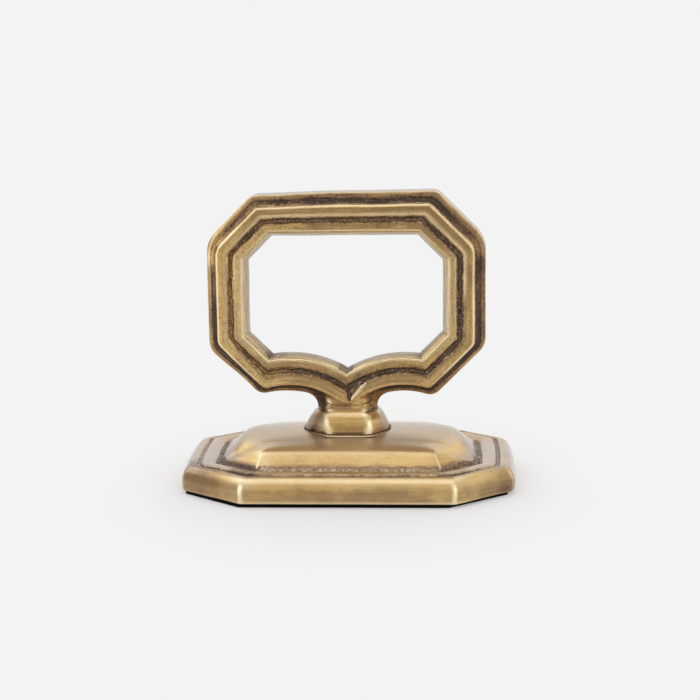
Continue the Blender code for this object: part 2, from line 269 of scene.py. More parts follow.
def feed(shader, **sockets):
    # links or sets the shader's sockets; underscores stand for spaces
    tree = shader.id_data
    for name, value in sockets.items():
        target = shader.inputs[name.replace("_", " ")]
        if isinstance(value, Wire):
            tree.links.new(value.socket, target)
        else:
            target.default_value = value


# Finishes

brassLook = {
    "gold": (0.610, 0.384, 0.122, 1),
    "goldPale": (0.660, 0.442, 0.166, 1),
    "goldDeep": (0.365, 0.222, 0.092, 1),
    # pale polished metal of worn edges, also used for painted highlights
    "polishedAndHighlight": (0.950, 0.810, 0.530, 1),
    "patina": (0.060, 0.037, 0.025, 1),
    "patinaWarm": (0.188, 0.108, 0.058, 1),
    # pale crumbs of dust in the grit, which also stand for painted glints off its grains
    "paleCrumbAndGlint": (0.680, 0.540, 0.420, 1),
    # a pale grey painted reflection of the room, where the metal would mirror it
    "paintedSheen": (0.560, 0.470, 0.415, 1),
    "edge": (0.76, 0.79, 0.84, 1),  # the metal's tint where it is seen at a low angle
    "patinaRoughness": 0.46,
    "paintedSheenRoughness": 0.25,  # added to the metal's own
    "coatRoughness": 0.18,
}

# noise in object space: scale, detail, roughness
brassNoise = {
    "crumbs": (1500, 3, 0.60),
    "grains": (3600, 3, 0.60),
    "clouds": (110, 3, 0.55),
    "stains": (260, 4, 0.60),
}


def antiqueBrass(name, roughness, anisotropy, coat, streaks):
    # lacquered cast brass: gold deepens to patina as the patina mark rises, the borders broken up by
    # noise and the patina gritty with pale crumbs where the rough mark is high, dust that also stands in
    # for painted glints off the grains; a painted pale grey reflection, a little rougher, where its mark is
    # high, polished metal on worn edges, and that pale colour also as painted highlights where the worn
    # mark stands for them, brushing along the flow map, scratches across it and a few pits
    look = brassLook
    finish, wire, shader = newFinish(name)
    place = wire.node("ShaderNodeTexCoord", output="Object")
    flow = wire.node("ShaderNodeUVMap", {"uv_map": "flow"})
    # the worn mark is edge wear and also painted highlights; the last of these marks is a painted pale grey
    # reflection
    patina, worn, rough, paintedSheen = (
        wire.node("ShaderNodeAttribute", {"attribute_name": mark}, output="Fac")
        for mark in ("patina", "worn", "rough", "paintedSheen")
    )

    crumbs, grains, clouds, stains = (place.noise(*values) for values in brassNoise.values())
    brushed = flow.stretched((0.25, 3.4, 1)).noise(700, 4, 0.62)
    hatched = flow.stretched((5, 0.5, 1)).noise(800, 2, 0.6)
    ragged = (crumbs - 0.5) * (0.6 + rough * 3.0) + (grains - 0.5) * (0.3 + rough * 4.6)
    streaked = (brushed - 0.5) * streaks
    smooth = 1 - rough.eased(0.1, 0.9) * 0.7
    ragged = ragged + streaked * smooth * 2.6 + (stains - 0.5) * 1.2
    dark = patina + ragged * (patina * (1.15 - patina) * 1.6 + 0.04)
    dark = dark.eased(0.26 + rough * 0.12, 0.86 - rough * 0.12)
    gritty = (crumbs - 0.5) * 0.8 + (grains - 0.5) * rough * 3.2
    deep = (patina + gritty + streaked * smooth * 1.6 + (clouds - 0.5) * 0.8).eased(0.62, 1.02)
    pale = (crumbs * 0.6 + grains * 0.4 + rough * 0.05).eased(0.58, 0.64) * rough.eased(0.7, 1.8)
    pits = (place.noise(1150, 2, 0.5) + (place.noise(160, 1, 0.5) - 0.5) * 0.5).eased(0.27, 0.17)

    tone = clouds.eased(0.30, 0.70).blend(look["gold"], look["goldPale"])
    aged = (patina + (stains - 0.5) * 0.7 + streaked * 0.9).eased(0.02, 0.36)
    tone = (aged * 0.85).blend(tone, look["goldDeep"])
    speckle = (grains * 0.55 + crumbs * 0.15 + brushed * 0.30).eased(0.47, 0.57)
    tone = (speckle * 0.85 * streaks).blend(tone, look["goldDeep"])
    cloudy = clouds.eased(0.45, 0.65)
    tone = (hatched.eased(0.50, 0.75) * cloudy * 0.35).blend(tone, look["goldDeep"])
    # painted pale grey reflection where its mark is high
    tone = paintedSheen.blend(tone, look["paintedSheen"])
    # polished wear, and painted highlights where the worn mark stands for them
    tone = (worn * 0.9).blend(tone, look["polishedAndHighlight"])
    stain = deep.blend(look["patinaWarm"], look["patina"])
    grit = (grains * 0.8 + crumbs * 0.2).eased(0.54, 0.62) * rough.eased(0.3, 1.0)
    # pale crumbs in the grit: dust, and painted glints off the grains
    stain = (grit * 0.38).blend(stain, look["paleCrumbAndGlint"])
    stain = (pale * 0.9).blend(stain, look["paleCrumbAndGlint"])
    colour = dark.blend(tone, stain)
    colour = (pits * 0.75 * streaks).blend(colour, look["patina"])

    height = grains * (0.06 + rough * 1.2) + crumbs * (0.10 + rough * 3.6) - pits * 0.8
    height = height + brushed * (0.2 + 0.6 * streaks) + hatched * cloudy * 0.30
    relief = wire.relief(height, 0.50, 0.00010)
    gloss = roughness + dark * (look["patinaRoughness"] - roughness) + streaked * 0.30 - worn * 0.04
    gloss = gloss + paintedSheen * look["paintedSheenRoughness"]
    feed(shader, Base_Color=colour, Metallic=1 - dark * 0.35, Roughness=gloss, Normal=relief)
    feed(shader, Coat_Weight=(1 - dark * 0.8) * coat, Coat_Roughness=look["coatRoughness"])
    feed(shader, Anisotropic=anisotropy, Anisotropic_Rotation=0.25, Specular_Tint=look["edge"])
    return finish


def blackFelt(name):
    # short pile: two sizes of noise in colour and relief
    finish, wire, shader = newFinish(name)
    place = wire.node("ShaderNodeTexCoord", output="Object")
    pile = place.noise(3800, 4, 0.7)
    tufts = place.noise(900, 2, 0.5)
    worn = (pile * 0.6 + tufts * 0.4).eased(0.3, 0.75)
    colour = worn.blend((0.001, 0.001, 0.001, 1), (0.006, 0.005, 0.004, 1))
    relief = wire.relief(pile, 0.6, 0.0002)
    feed(shader, Base_Color=colour, Roughness=0.95, Normal=relief, Specular_IOR_Level=0.1)
    return finish


def zincSteel(name):
    # plated steel: pale patches of passivation, fine turning marks, slightly rough
    finish, wire, shader = newFinish(name)
    place = wire.node("ShaderNodeTexCoord", output="Object")
    patches = place.noise(600, 3, 0.6)
    marks = place.stretched((1, 1, 12)).noise(1800, 2, 0.5)
    colour = patches.eased(0.3, 0.7).blend((0.50, 0.50, 0.49, 1), (0.62, 0.62, 0.58, 1))
    relief = wire.relief(marks, 0.2, 0.00004)
    roughness = 0.30 + patches * 0.2
    feed(shader, Base_Color=colour, Metallic=1.0, Roughness=roughness, Normal=relief)
    return finish


loopBrass = antiqueBrass("loopBrass", roughness=0.24, anisotropy=0.0, coat=0.30, streaks=1.00)
pedestalBrass = antiqueBrass("pedestalBrass", roughness=0.28, anisotropy=0.6, coat=0.40, streaks=0.45)
baseBrass = antiqueBrass("baseBrass", roughness=0.30, anisotropy=0.8, coat=1.00, streaks=0.40)
felt = blackFelt("blackFelt")
steel = zincSteel("zincSteel")
print("finishes ready")


# Loop

loopShape = {
    "openingWidth": 39.0,
    "openingHeight": 25.0,
    "openingCorner": 5.0,
    "openingSide": 15.8,
    "openingRise": 10.05,  # the arches' crowns above the neck's foot
    "archSpread": 11.4,
    "neckWidth": 11.9,
    "neckDepth": 8.7,
    "neckCorner": 2.4,
    "neckFillet": 3.16,
    "depth": 9.2,
    "bandFoot": 1.25,  # the main edge goes no lower than this over the neck's foot
    "bandFootBlend": 0.5,
    "wave": 0.05,
    "roughCasting": 0.10,
    "wander": 0.05,  # how far these rows of the moulding stray
    "wanderRows": (0.2, 0.8, 4.2, 5.6),
    "lean": 0.46,  # the rim's top left end lies this much lower, its right end higher
    "leanRight": 0.20,
    "leanSpread": (2, 18),
    "leanPlace": {"z": (20, 36), "offset": (0, 5.8)},
    "taper": 0.80,  # the rim thins by this much towards the lower left tip
    "taperPlace": {"x": (-10, -22), "z": (12, 4), "offset": (5.8, 8.1)},
    "draft": 0.10,  # the opening falls towards the back, the rim hardly
    "outerDraft": 0.04,
    "draftRows": (0.8, 5.8),
    "draftFrom": (2.0, 6.0),
    "neckRows": (4.6, 7.6),  # these rows turn into the neck's shaft
    "neckStart": (4.6, 5.6),
    "archPoints": 40,
    "filletPoints": 24,
    "cornerPoints": 10,
    "frontPoints": 11,
}

# the moulding's five lines, wall, inner edge, groove, main edge and rim: their nominal offsets from the
# opening, the same on each side as the hand finishing left them, the arches' radii and how far each
# line's corners are softened
loopLines = {
    "nominal": (0.00, 0.76, 3.00, 5.78, 8.10),
    "top": (-0.18, 0.64, 2.93, 5.78, 8.34),
    "left": (0.14, 1.00, 3.39, 6.10, 8.05),
    "right": (-0.34, 0.70, 3.00, 5.88, 8.20),
    "upperLeft": (0.06, 0.90, 3.32, 6.16, 8.66),
    "upperRight": (-0.30, 0.58, 2.62, 5.66, 8.56),
    "lowerLeft": (-0.68, 0.40, 2.45, 5.02, 7.22),
    "lowerRight": (-1.18, 0.00, 2.32, 5.02, 6.90),
    "radius": (22.38, 21.48, 19.15, 16.20, 14.66),
    "softness": (0.25, 0.25, 0.45, 0.95, 1.80),
}
mainEdge, rimEdge = 3, 4  # places in these lists

# across the moulding: offset from the opening, setback from the front, patina, worn, rough, corner cut
loopSection = np.array(
    [
        (0.00, 4.60, 0.32, 0.0, 0.2, 0.00),
        (0.02, 2.30, 0.30, 0.0, 0.2, 1.20),
        (0.50, 0.58, 0.20, 0.3, 0.1, 0.30),
        (0.76, 0.16, 0.00, 1.0, 0.0, 0.14),
        (1.04, 0.04, 0.04, 0.5, 0.0, 0.18),
        (1.60, 0.05, 0.12, 0.0, 0.1, 0.30),
        (2.18, 0.10, 0.26, 0.3, 0.5, 0.20),
        (2.44, 0.26, 0.46, 0.2, 0.8, 0.12),
        (2.72, 0.66, 0.88, 0.0, 1.0, 0.14),
        (3.04, 0.84, 1.00, 0.0, 1.0, 0.20),
        (3.34, 0.60, 0.88, 0.0, 1.0, 0.14),
        (3.66, 0.22, 0.44, 0.1, 0.7, 0.14),
        (4.02, 0.07, 0.12, 0.5, 0.3, 0.16),
        (4.60, 0.00, 0.22, 0.0, 0.1, 0.24),
        (5.40, 0.02, 0.20, 0.0, 0.0, 0.08),
        (5.58, 0.08, 0.00, 0.8, 0.0, 0.08),
        (5.78, 0.24, 0.00, 1.0, 0.0, 0.10),
        (6.06, 0.80, 0.86, 0.0, 0.3, 0.18),
        (6.44, 1.14, 1.00, 0.0, 0.4, 0.22),
        (6.86, 1.18, 0.98, 0.0, 0.4, 0.18),
        (7.16, 1.20, 0.70, 0.0, 0.3, 0.14),
        (7.50, 1.26, 0.52, 0.0, 0.2, 0.18),
        (7.84, 1.40, 0.44, 0.1, 0.1, 0.12),
        (8.06, 1.66, 0.10, 0.8, 0.0, 0.16),
        (8.10, 4.60, 0.15, 0.0, 0.0, 0.00),
    ]
)

# flaws under the middle of the arches: two ends in plan of the front face, width, and what each adds to
# patina, worn, rough and setback
loopFlaws = {
    "gash": ((0.12, 4.35), (0.49, 1.75), 0.30, (1.0, -1.0, 1.0, 0.40)),
    "crumbs": ((0.62, 2.60), (2.85, 5.30), 0.26, (1.0, 0.0, 1.4, 0.30)),
    "burr": ((0.93, 1.95), (3.55, 5.35), 0.26, (-0.6, 1.0, 0.6, -0.22)),
}

# for tones: rows of the moulding by offset, and places round the loop, as limits of none and full, then
# of full and none; rise is x + z, fall is z - x and away is the distance from the middle
loopRows = {
    "wall": (0.75, 0.5),
    "innerBand": (0.95, 1.3, 2.2, 2.6),
    "groove": (2.3, 2.6, 3.4, 3.8),
    "grooveInside": (2.3, 2.6, 2.7, 3.0),
    "grooveMiddle": (2.70, 2.90, 3.18, 3.38),
    "outerLip": (3.4, 3.8, 4.1, 4.6),
    "band": (4.1, 4.5, 5.2, 5.5),
    "bandEdge": (5.3, 5.5, 6.0, 6.2),
    "bandLip": (5.3, 5.6, 5.85, 6.0),
    "cove": (5.9, 6.1, 6.5, 6.7),
    "wideCove": (5.9, 6.2, 6.6, 7.0),
    "rim": (6.9, 7.3, 7.9, 8.06),
    "ground": (5.9, 6.2),
    "groundEdge": (7.0, 7.5),
    "neck": (5.4, 6.2),
    "neckUnworn": (4.8, 5.4),
}
loopPlaces = {
    "all": {},
    "left": {"x": (-19, -22)},
    "leftBelow": {"x": (-19, -22), "z": (28, 23)},
    "leftBand": {"x": (-17, -21)},
    "leftLip": {"x": (-17, -20)},
    "right": {"x": (19, 22)},
    "rightRim": {"x": (21.0, 22.2), "z": (12, 15, 30, 32)},
    "rightLip": {"x": (14, 19)},
    "rightInner": {"x": (14, 18), "z": (32, 28)},
    "rightHalf": {"x": (-4, 8)},
    "top": {"z": (36, 37.5)},
    "topBand": {"z": (36, 38)},
    "nearTop": {"z": (34, 36)},
    "high": {"z": (30, 35)},
    "upLeft": {"fall": (44, 47)},
    "upRight": {"rise": (44, 47)},
    "low": {"z": (14, 8)},
    "lowLeft": {"z": (14, 8), "x": (-8, -14)},
    "lowLeftWall": {"z": (14, 8), "x": (-11, -14)},
    "lowMiddle": {"z": (14, 8), "away": (7, 2)},
    "arches": {"z": (14, 8), "away": (16, 13)},
    "rightArch": {"z": (14, 8), "away": (16, 13), "x": (6, 10)},
    "slants": {"z": (14, 8), "away": (13, 16)},
}

# what each row gains in patina, loses of its wear and gains in wear at these places; the outer lip is plain,
# without a bright edge, on the right and below, and a little on the left
loopTones = {
    "leftPlain": 0.2,
    "patina": {
        "wall": {"corners": 0.45, "lowLeftWall": 0.20},
        "innerBand": {"high": 0.156, "upLeft": -0.288, "low": 0.144, "lowMiddle": 0.12, "rightInner": -0.16},
        "groove": {"top": -0.08, "right": 0.06, "upRight": 0.06, "lowLeft": -0.34},
        "grooveInside": {"top": -0.26},
        "grooveMiddle": {"leftBelow": -0.20},
        "grooveFlanks": {"left": -0.58},
        "outerLip": {"plain": 0.16, "plainRight": 0.14},
        "band": {
            "arches": 0.06, "rightArch": 0.12, "slants": -0.20, "upRight": 0.10, "topBand": 0.08,
            "leftBand": -0.34,
        },
        "cove": {"left": 0.06, "upper": -0.04, "upperRim": 0.04},
        "wideCove": {"upLeft": -0.25},
        "rim": {"all": -0.10, "rightRim": 0.28, "upper": 0.20, "upperRight": -0.13, "upLeft": -0.12},
    },
    "dull": {
        "bandEdge": {"topAndRight": 0.40},
        "outerLip": {"plain": 0.90},
        "innerBand": {"lowAndHigh": 0.90},
    },
    "worn": {"bandLip": {"left": 0.50}},
}

# two corners of the rim ground by hand, their bare metal made brighter partly as a painted highlight,
# and a painted highlight on the neck: two ends, width and level
loopGleams = {
    "leftCorner": ((-25.9, 30.9), (-24.2, 33.6), 1.7, 0.90),
    "rightCorner": ((25.9, 31.6), (25.2, 33.0), 1.4, 0.36),
    "neck": ((-3.7, 1.9), (-3.6, 0.9), 0.45, 0.90),
}

# tones across the neck, from left to right; the stain has a middle and a width
neckPlaces = {
    "all": {},
    "fromMiddle": {"x": (0.2, 1.6)},
    "farLeft": {"x": (-3.9, -4.6)},
    "farRight": {"x": (4.6, 5.2)},
    "gritty": {"x": (2.8, 3.8, 4.4, 5.0)},
}
neckTones = {
    "stain": (4.4, 0.6),
    "patina": {"all": 0.46, "fromMiddle": -0.46, "farLeft": 0.45, "farRight": 0.40, "stain": 0.70},
}


def loopOutline(line, hand):
    # half of a moulding line, from the lower middle to the top middle: an arch about a centre beside
    # the neck, a slanted side at 45 degrees, an upright side, a slanted side and half the top
    shape = loopShape
    offsets = {name: values[line] for name, values in loopLines.items()}
    half = shape["openingWidth"] / 2
    softness, radius = offsets["softness"], offsets["radius"]
    bowCount = sum(shape[name + "Points"] for name in ("arch", "fillet", "corner", "front"))
    filletX = shape["neckWidth"] / 2 + shape["neckFillet"]
    reach = loopLines["radius"][rimEdge] - shape["neckFillet"]
    centre = np.array([shape["archSpread"], -math.sqrt(reach**2 - (filletX - shape["archSpread"]) ** 2)])
    top = shape["openingRise"] + shape["openingHeight"]
    x, z = half + offsets[hand], top + offsets["top"]
    upperSum = half + top - shape["openingCorner"] + offsets["upper" + hand.title()] * math.sqrt(2)
    lowerDifference = half - (top - shape["openingCorner"] - shape["openingSide"])
    lowerDifference += offsets["lower" + hand.title()] * math.sqrt(2)
    gap = lowerDifference - centre[0] + centre[1]
    tipZ = centre[1] + (-gap + math.sqrt(2 * radius**2 - gap**2)) / 2
    tip = np.array([tipZ + lowerDifference, tipZ])

    corners = [tip, (x, x - lowerDifference), (x, upperSum - x), (upperSum - z, z), (0, z)]
    cuts = [softness, softness, softness * 1.5, softness * 0.7, 0]
    frameRun = bentPath(corners, cuts, (28, 34, 22, 28), 8)

    start = math.atan2(*(tip - centre)[::-1]) + softness / radius
    if line == rimEdge:
        fillet = np.array([filletX, 0.0])
        touch = math.atan2(*(fillet - centre)[::-1])
        angle = np.linspace(start, touch, shape["archPoints"], endpoint=False)
        bow = centre + radius * np.stack([np.cos(angle), np.sin(angle)], axis=-1)
        angle = np.linspace(touch, math.pi, shape["filletPoints"], endpoint=False)
        turn = fillet + shape["neckFillet"] * np.stack([np.cos(angle), np.sin(angle)], axis=-1)
        neckX = shape["neckWidth"] / 2
        corner = np.linspace(neckX, neckX - shape["neckCorner"], shape["cornerPoints"], endpoint=False)
        front = np.linspace(neckX - shape["neckCorner"], 0, shape["frontPoints"])
        flat = np.concatenate([corner, front])
        bow = np.concatenate([bow, turn, np.stack([flat, np.zeros_like(flat)], axis=-1)])
    else:
        end = math.pi - math.acos(centre[0] / radius)
        angle = np.linspace(start, end, bowCount)
        bow = centre + radius * np.stack([np.cos(angle), np.sin(angle)], axis=-1)
        bow[-1, 0] = 0.0
        if line == mainEdge:
            bow[:, 1] = -softMin(-bow[:, 1], -shape["bandFoot"], shape["bandFootBlend"])
    t = np.linspace(0, 1, 8, endpoint=False)[1:, None]
    bend = frameRun[:1] * t**2 + tip * 2 * t * (1 - t) + bow[:1] * (1 - t) ** 2
    return np.concatenate([bow[::-1], bend, frameRun])


def nearLine(plane, start, end, width):
    # 1 on a line between two points, falling away over this width
    start, end = np.array(start), np.array(end)
    along = np.clip((plane - start) @ (end - start) / np.sum((end - start) ** 2), 0, 1)
    away = np.linalg.norm(plane - start - along[..., None] * (end - start), axis=-1)
    return np.exp(-((away / width) ** 2))


def cornersOf(outline):
    # how sharply a closed outline turns at each point, spread over its neighbours
    steps = np.diff(outline, axis=0, append=outline[:1])
    turning = np.abs(np.diff(np.unwrap(np.arctan2(*steps.T)), append=0))
    blur = np.exp(-np.linspace(-2, 2, 27) ** 2)
    count = len(outline)
    return np.clip(np.convolve(np.tile(turning, 3), blur, "same")[count : 2 * count], 0, 1)


def loopMarks(front, outlines, plane, onNeck):
    # patina gathers in the opening's lower corners and under its middle, is heavier on the right of the
    # rim, lighter in the left groove, and lies beside the neck
    offset, patina, worn, rough = (front[:, column, None] for column in (0, 2, 3, 4))
    x, z = outlines[2].T
    rows = {name: within(offset, limits) for name, limits in loopRows.items()}
    rows["grooveFlanks"] = rows["groove"] * (1 - rows["grooveMiddle"])
    where = {"x": x, "z": z, "away": np.abs(x), "rise": x + z, "fall": z - x}
    places = {name: patch(where, limits) for name, limits in loopPlaces.items()}
    low, upRight, rightLip = places["low"], places["upRight"], places["rightLip"]
    upper = np.maximum(places["top"], upRight)
    plain = np.maximum(rightLip * (1 - upRight) + loopTones["leftPlain"] * places["leftLip"], low)
    places |= {
        "corners": cornersOf(outlines[0]) * low,
        "upper": upper,
        "upperRight": upper * places["rightHalf"],
        "upperRim": upper * places["rightRim"],
        "plain": plain,
        "plainRight": plain * rightLip,
        "topAndRight": np.maximum(places["nearTop"], upRight),
        "lowAndHigh": np.maximum(low, places["high"]),
    }
    for row, levels in loopTones["patina"].items():
        patina = patina + rows[row] * toned(places, levels)
    for row, levels in loopTones["dull"].items():
        worn = worn * (1 - rows[row] * toned(places, levels))
    for row, levels in loopTones["worn"].items():
        worn = worn + rows[row] * toned(places, levels)
    # the ground corners lose patina and gain wear, partly as a painted highlight; the neck's gleam is a
    # painted highlight
    gleams = {name: level * nearLine(plane, *line) for name, (*line, level) in loopGleams.items()}
    ground = gleams["leftCorner"] + gleams["rightCorner"]
    patina = patina - ground * rows["ground"]
    worn = worn + ground * rows["groundEdge"]

    neck = onNeck * rows["neck"]
    across = plane[..., 0]
    beside = {name: patch({"x": across}, limits) for name, limits in neckPlaces.items()}
    beside["stain"] = bell(across, *neckTones["stain"])
    patina = patina * (1 - neck) + neck * toned(beside, neckTones["patina"])
    # a painted highlight on the left of the neck, through the worn mark
    worn = worn * (1 - onNeck * rows["neckUnworn"]) + neck * gleams["neck"]
    rough = rough * (1 - neck) + neck * beside["gritty"]
    return patina, worn, rough, neck


def loopGrid():
    # the section is carried round five nested outlines, each row lying between two of them by its offset
    shape = loopShape
    half = shape["depth"] / 2
    offsets = np.array(loopLines["nominal"])
    right = np.stack([loopOutline(line, "right") for line in range(len(offsets))])
    left = np.stack([loopOutline(line, "left") for line in range(len(offsets))])[:, -2:0:-1] * (-1, 1)
    outlines = np.concatenate([right, left], axis=1)

    keys, cuts = loopSection[:, :5], loopSection[:, 5]
    runs = (5, 3, 2, 2, 2, 2, 2, 3, 3, 3, 2, 2, 3, 2, 2, 2, 3, 3, 3, 2, 2, 2, 2, 4)
    front = bentPath(keys, cuts, runs, 2)
    offset, setback = front[:, 0, None], front[:, 1, None]
    station = np.arange(outlines.shape[1])
    x, z = outlines[2].T
    wander = lumps(np.stack([x, 0 * x, z], axis=-1), 6.0, 14) * shape["wander"]
    row = offset + wander * within(offset, shape["wanderRows"])
    span = np.clip(np.searchsorted(offsets, row, side="right") - 1, 0, len(offsets) - 2)
    part = ((row - offsets[span]) / (offsets[span + 1] - offsets[span]))[..., None]
    plane = outlines[span, station] * (1 - part) + outlines[span + 1, station] * part

    # on the neck the rim's rows turn into a shaft with rounded corners in plan
    fromMiddle = np.minimum(station, len(station) - station)
    flatCount = shape["frontPoints"] + shape["cornerPoints"]
    onNeck = ramp(fromMiddle, flatCount + shape["filletPoints"], flatCount)
    cutCorner = np.clip((fromMiddle - shape["frontPoints"] + 1) / shape["cornerPoints"], 0, 1) ** 2
    share = np.clip((offset - offsets[mainEdge]) / (offsets[rimEdge] - offsets[mainEdge]), 0, 1)
    neckBack = (half - shape["neckDepth"] / 2) * within(offset, shape["neckRows"])
    neckBack = neckBack + shape["neckCorner"] * share * cutCorner
    back = setback + (neckBack - setback) * onNeck * within(offset, shape["neckStart"])

    patina, worn, rough, neck = loopMarks(front, outlines, plane, onNeck)
    for start, end, width, adds in loopFlaws.values():
        near = nearLine(plane, start, end, width)
        patina, worn, rough, back = (a + add * near for a, add in zip((patina, worn, rough, back), adds))
    patina, worn, rough = np.clip(patina, 0, 1), np.clip(worn, 0, 1), np.clip(rough, 0, 1.6)
    back = np.where(setback >= half, half, np.clip(back, 0, half))

    across, rise = plane[..., 0], plane[..., 1]
    where = {"x": across, "z": rise, "offset": offset}
    lean = shape["leanRight"] * ramp(across, *shape["leanSpread"])
    lean = lean - shape["lean"] * ramp(-across, *shape["leanSpread"])
    height = rise + lean * patch(where, shape["leanPlace"])
    height = height + shape["taper"] * patch(where, shape["taperPlace"])
    grid = np.stack([across, back - half, height + neckZ], axis=-1)
    rear = grid[-2:0:-1] * (1, -1, 1)
    grid = np.concatenate([grid, rear])
    inside = np.concatenate([offset, offset[-2:0:-1]])
    fall = shape["draft"] + (shape["outerDraft"] - shape["draft"]) * ramp(inside, *shape["draftRows"])
    grid[..., 2] -= fall * (grid[..., 1] + half) * ramp(grid[..., 2] - neckZ, *shape["draftFrom"])
    whole = [np.concatenate([layer, layer[-2:0:-1]]) for layer in (patina, worn, rough, neck)]
    return grid, *whole


def makeLoop():
    # slow waves, and cast grit where rough, move the surface along its normals, but not on the neck
    grid, patina, worn, rough, neck = loopGrid()
    normal = normalsOf(grid)
    wave = lumps(grid, 7.0, 11) * loopShape["wave"]
    cast = (lumps(grid, 0.8, 12) + 0.7 * lumps(grid, 0.4, 13)) * loopShape["roughCasting"]
    grid = grid + normal * ((wave + cast * rough) * (1 - neck))[..., None]
    piece = surface("napkin_loop", grid, {"patina": patina, "worn": worn, "rough": rough}, loopBrass)
    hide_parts("loop")
    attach(piece, "root")


makeLoop()


# Rings with cut corners, for pedestal, base and pad

ringPoints = {"straight": 26, "end": 13, "bend": 10}


def cutRing(halfX, halfY, legX, legY, cut):
    # one ring for each row: a rectangle with slanted corners whose eight vertices are softened by cut,
    # from the middle of the back round to it again
    zero = np.zeros_like(halfX)
    corners = np.stack(
        [
            np.stack([zero, halfY], axis=-1),
            np.stack([halfX - legX, halfY], axis=-1),
            np.stack([halfX, halfY - legY], axis=-1),
            np.stack([halfX, zero], axis=-1),
        ],
        axis=-2,
    )
    cuts = np.stack([zero, cut, cut, zero], axis=-1)
    straight, end, bend = ringPoints.values()
    quarter = bentPath(corners, cuts, (straight, straight, end), bend)
    right = np.concatenate([quarter, quarter[:, -2::-1] * (1, -1)], axis=1)
    return np.concatenate([right, right[:, -2:0:-1] * (-1, 1)], axis=1)


def bendMarks(first, second):
    # for the stations of cutRing: these weights at the middle of its bends next to the long sides and
    # next to the ends, 0 along the straight runs
    straight, end, bend = ringPoints.values()
    hat = np.sin(np.linspace(0, math.pi, bend)) ** 2
    plain = np.zeros(straight)
    quarter = np.concatenate([plain, first * hat, plain, second * hat, np.zeros(end)])
    right = np.concatenate([quarter, quarter[-2::-1]])
    return np.concatenate([right, right[-2:0:-1]])


def roundRing(radius, count):
    # circles of these radii with the stations of cutRing
    angle = math.pi / 2 - np.linspace(0, 2 * math.pi, count, endpoint=False)
    return radius[:, None, None] * np.stack([np.cos(angle), np.sin(angle)], axis=-1)


def spread(layers):
    # layers of rows one after another, each carried over all stations
    count = max(layer.shape[1] for layer in layers)
    return np.concatenate([np.broadcast_to(layer, (len(layer), count)) for layer in layers])


def lifted(ring, z):
    # rings in plan with a height for each row or point
    z = np.broadcast_to(np.asarray(z, float), ring.shape[:2])
    return np.concatenate([ring, z[..., None]], axis=-1)


# Pedestal

pedestalShape = {
    "footWidth": 17.4,
    "footDepth": 12.2,
    "footCorner": 4.4,
    "neckWidth": 11.7,
    "neckDepth": 8.6,
    "neckCorner": 2.3,
    "sink": 0.12,  # how far the foot goes below the seat's rim
    "lipHeight": 0.50,
    "lipGroove": 0.24,
    "flareStart": 0.80,
    "sideTop": 15.25,  # the flare starts here at the sides and at the front
    "frontTop": 15.15,
    "sideFillet": (-0.08, 0.26),  # shares of the drop over which it curves out of the neck
    "frontFillet": (-0.05, 0.13),
    "sineShare": 0.62,  # the width's share of a quarter sine, the rest is straight
    "frontPower": 2.3,
    "cornerDip": 1.6,  # corners are shorter half way down
    "lipCut": 1.7,
    "flareCut": (1.15, 0.5),  # at the neck, and more at the foot
    "shiftFrom": (-1, -6),
    "brightBends": (0.8, 0.2),
    "shift": -0.20,
    "frontShift": 0.55,
    "hole": 2.3,
    "socket": 3.3,
    "socketDepth": 1.5,
    "hiddenPatina": 0.5,
    "wave": 0.03,
}

# patches of the flare: side is x over the half width, away its size, over the height above the lip, wide
# and deep the shares of the swelling
pedestalPlaces = {
    "all": {},
    "neckEnd": {"deep": (0.20, 0.02)},
    "foot": {"wide": (0.5, 0.95)},
    # a painted band of shade over the lip, where the flare turns under, lighter at the ends
    "overLipShade": {"over": (0.75, 0.10)},
    "overLipShadeEnds": {"over": (0.75, 0.10), "away": (0.55, 0.72)},
    "upperLeft": {"z": (14.3, 15.1), "x": (-3.6, -4.4)},
    "upperRight": {"z": (14.3, 15.1), "x": (3.4, 4.2)},
    # a painted highlight across the shoulder, through the worn mark
    "shoulderHighlight": {"deep": (0.10, 0.22, 0.35, 0.55)},
    "lowEdges": {"wide": (0.45, 0.85)},
    # painted pale grey reflections on the left and right faces
    "left": {"side": (-0.48, -0.60)},
    "farLeft": {"side": (-0.86, -0.94)},
    "right": {"side": (0.74, 0.92)},
    "farRight": {"side": (0.76, 0.88)},
}
# a painted dark stripe on the left face, and painted highlights near the front corners: middle and width
# across the side
pedestalStripes = {"leftShadeStripe": (-0.80, 0.08), "leftCorner": (-0.60, 0.06), "rightCorner": (0.58, 0.09)}
# the patina over the lip and on the left stripe is painted shade; the wear on the shoulder and near the
# corners is painted highlight; the pale grey on the faces is a painted reflection; the bright bends are
# partly edge wear and partly painted highlight
pedestalTones = {
    "patina": {
        "all": 0.06, "neckEnd": 0.18, "foot": 0.18, "overLipShade": 0.60, "overLipShadeEnds": -0.40,
        "upperLeft": 0.30, "upperRight": 0.40, "leftShadeStripe": 0.42, "farRight": 0.14,
    },
    "worn": {"shoulderHighlight": 0.45, "leftCorner": 0.40, "rightCorner": 0.40},
    "paintedSheen": {"left": 0.40, "farLeft": 0.35, "right": 0.45},
    "edges": {"all": 0.35, "lowEdges": 0.65},
}


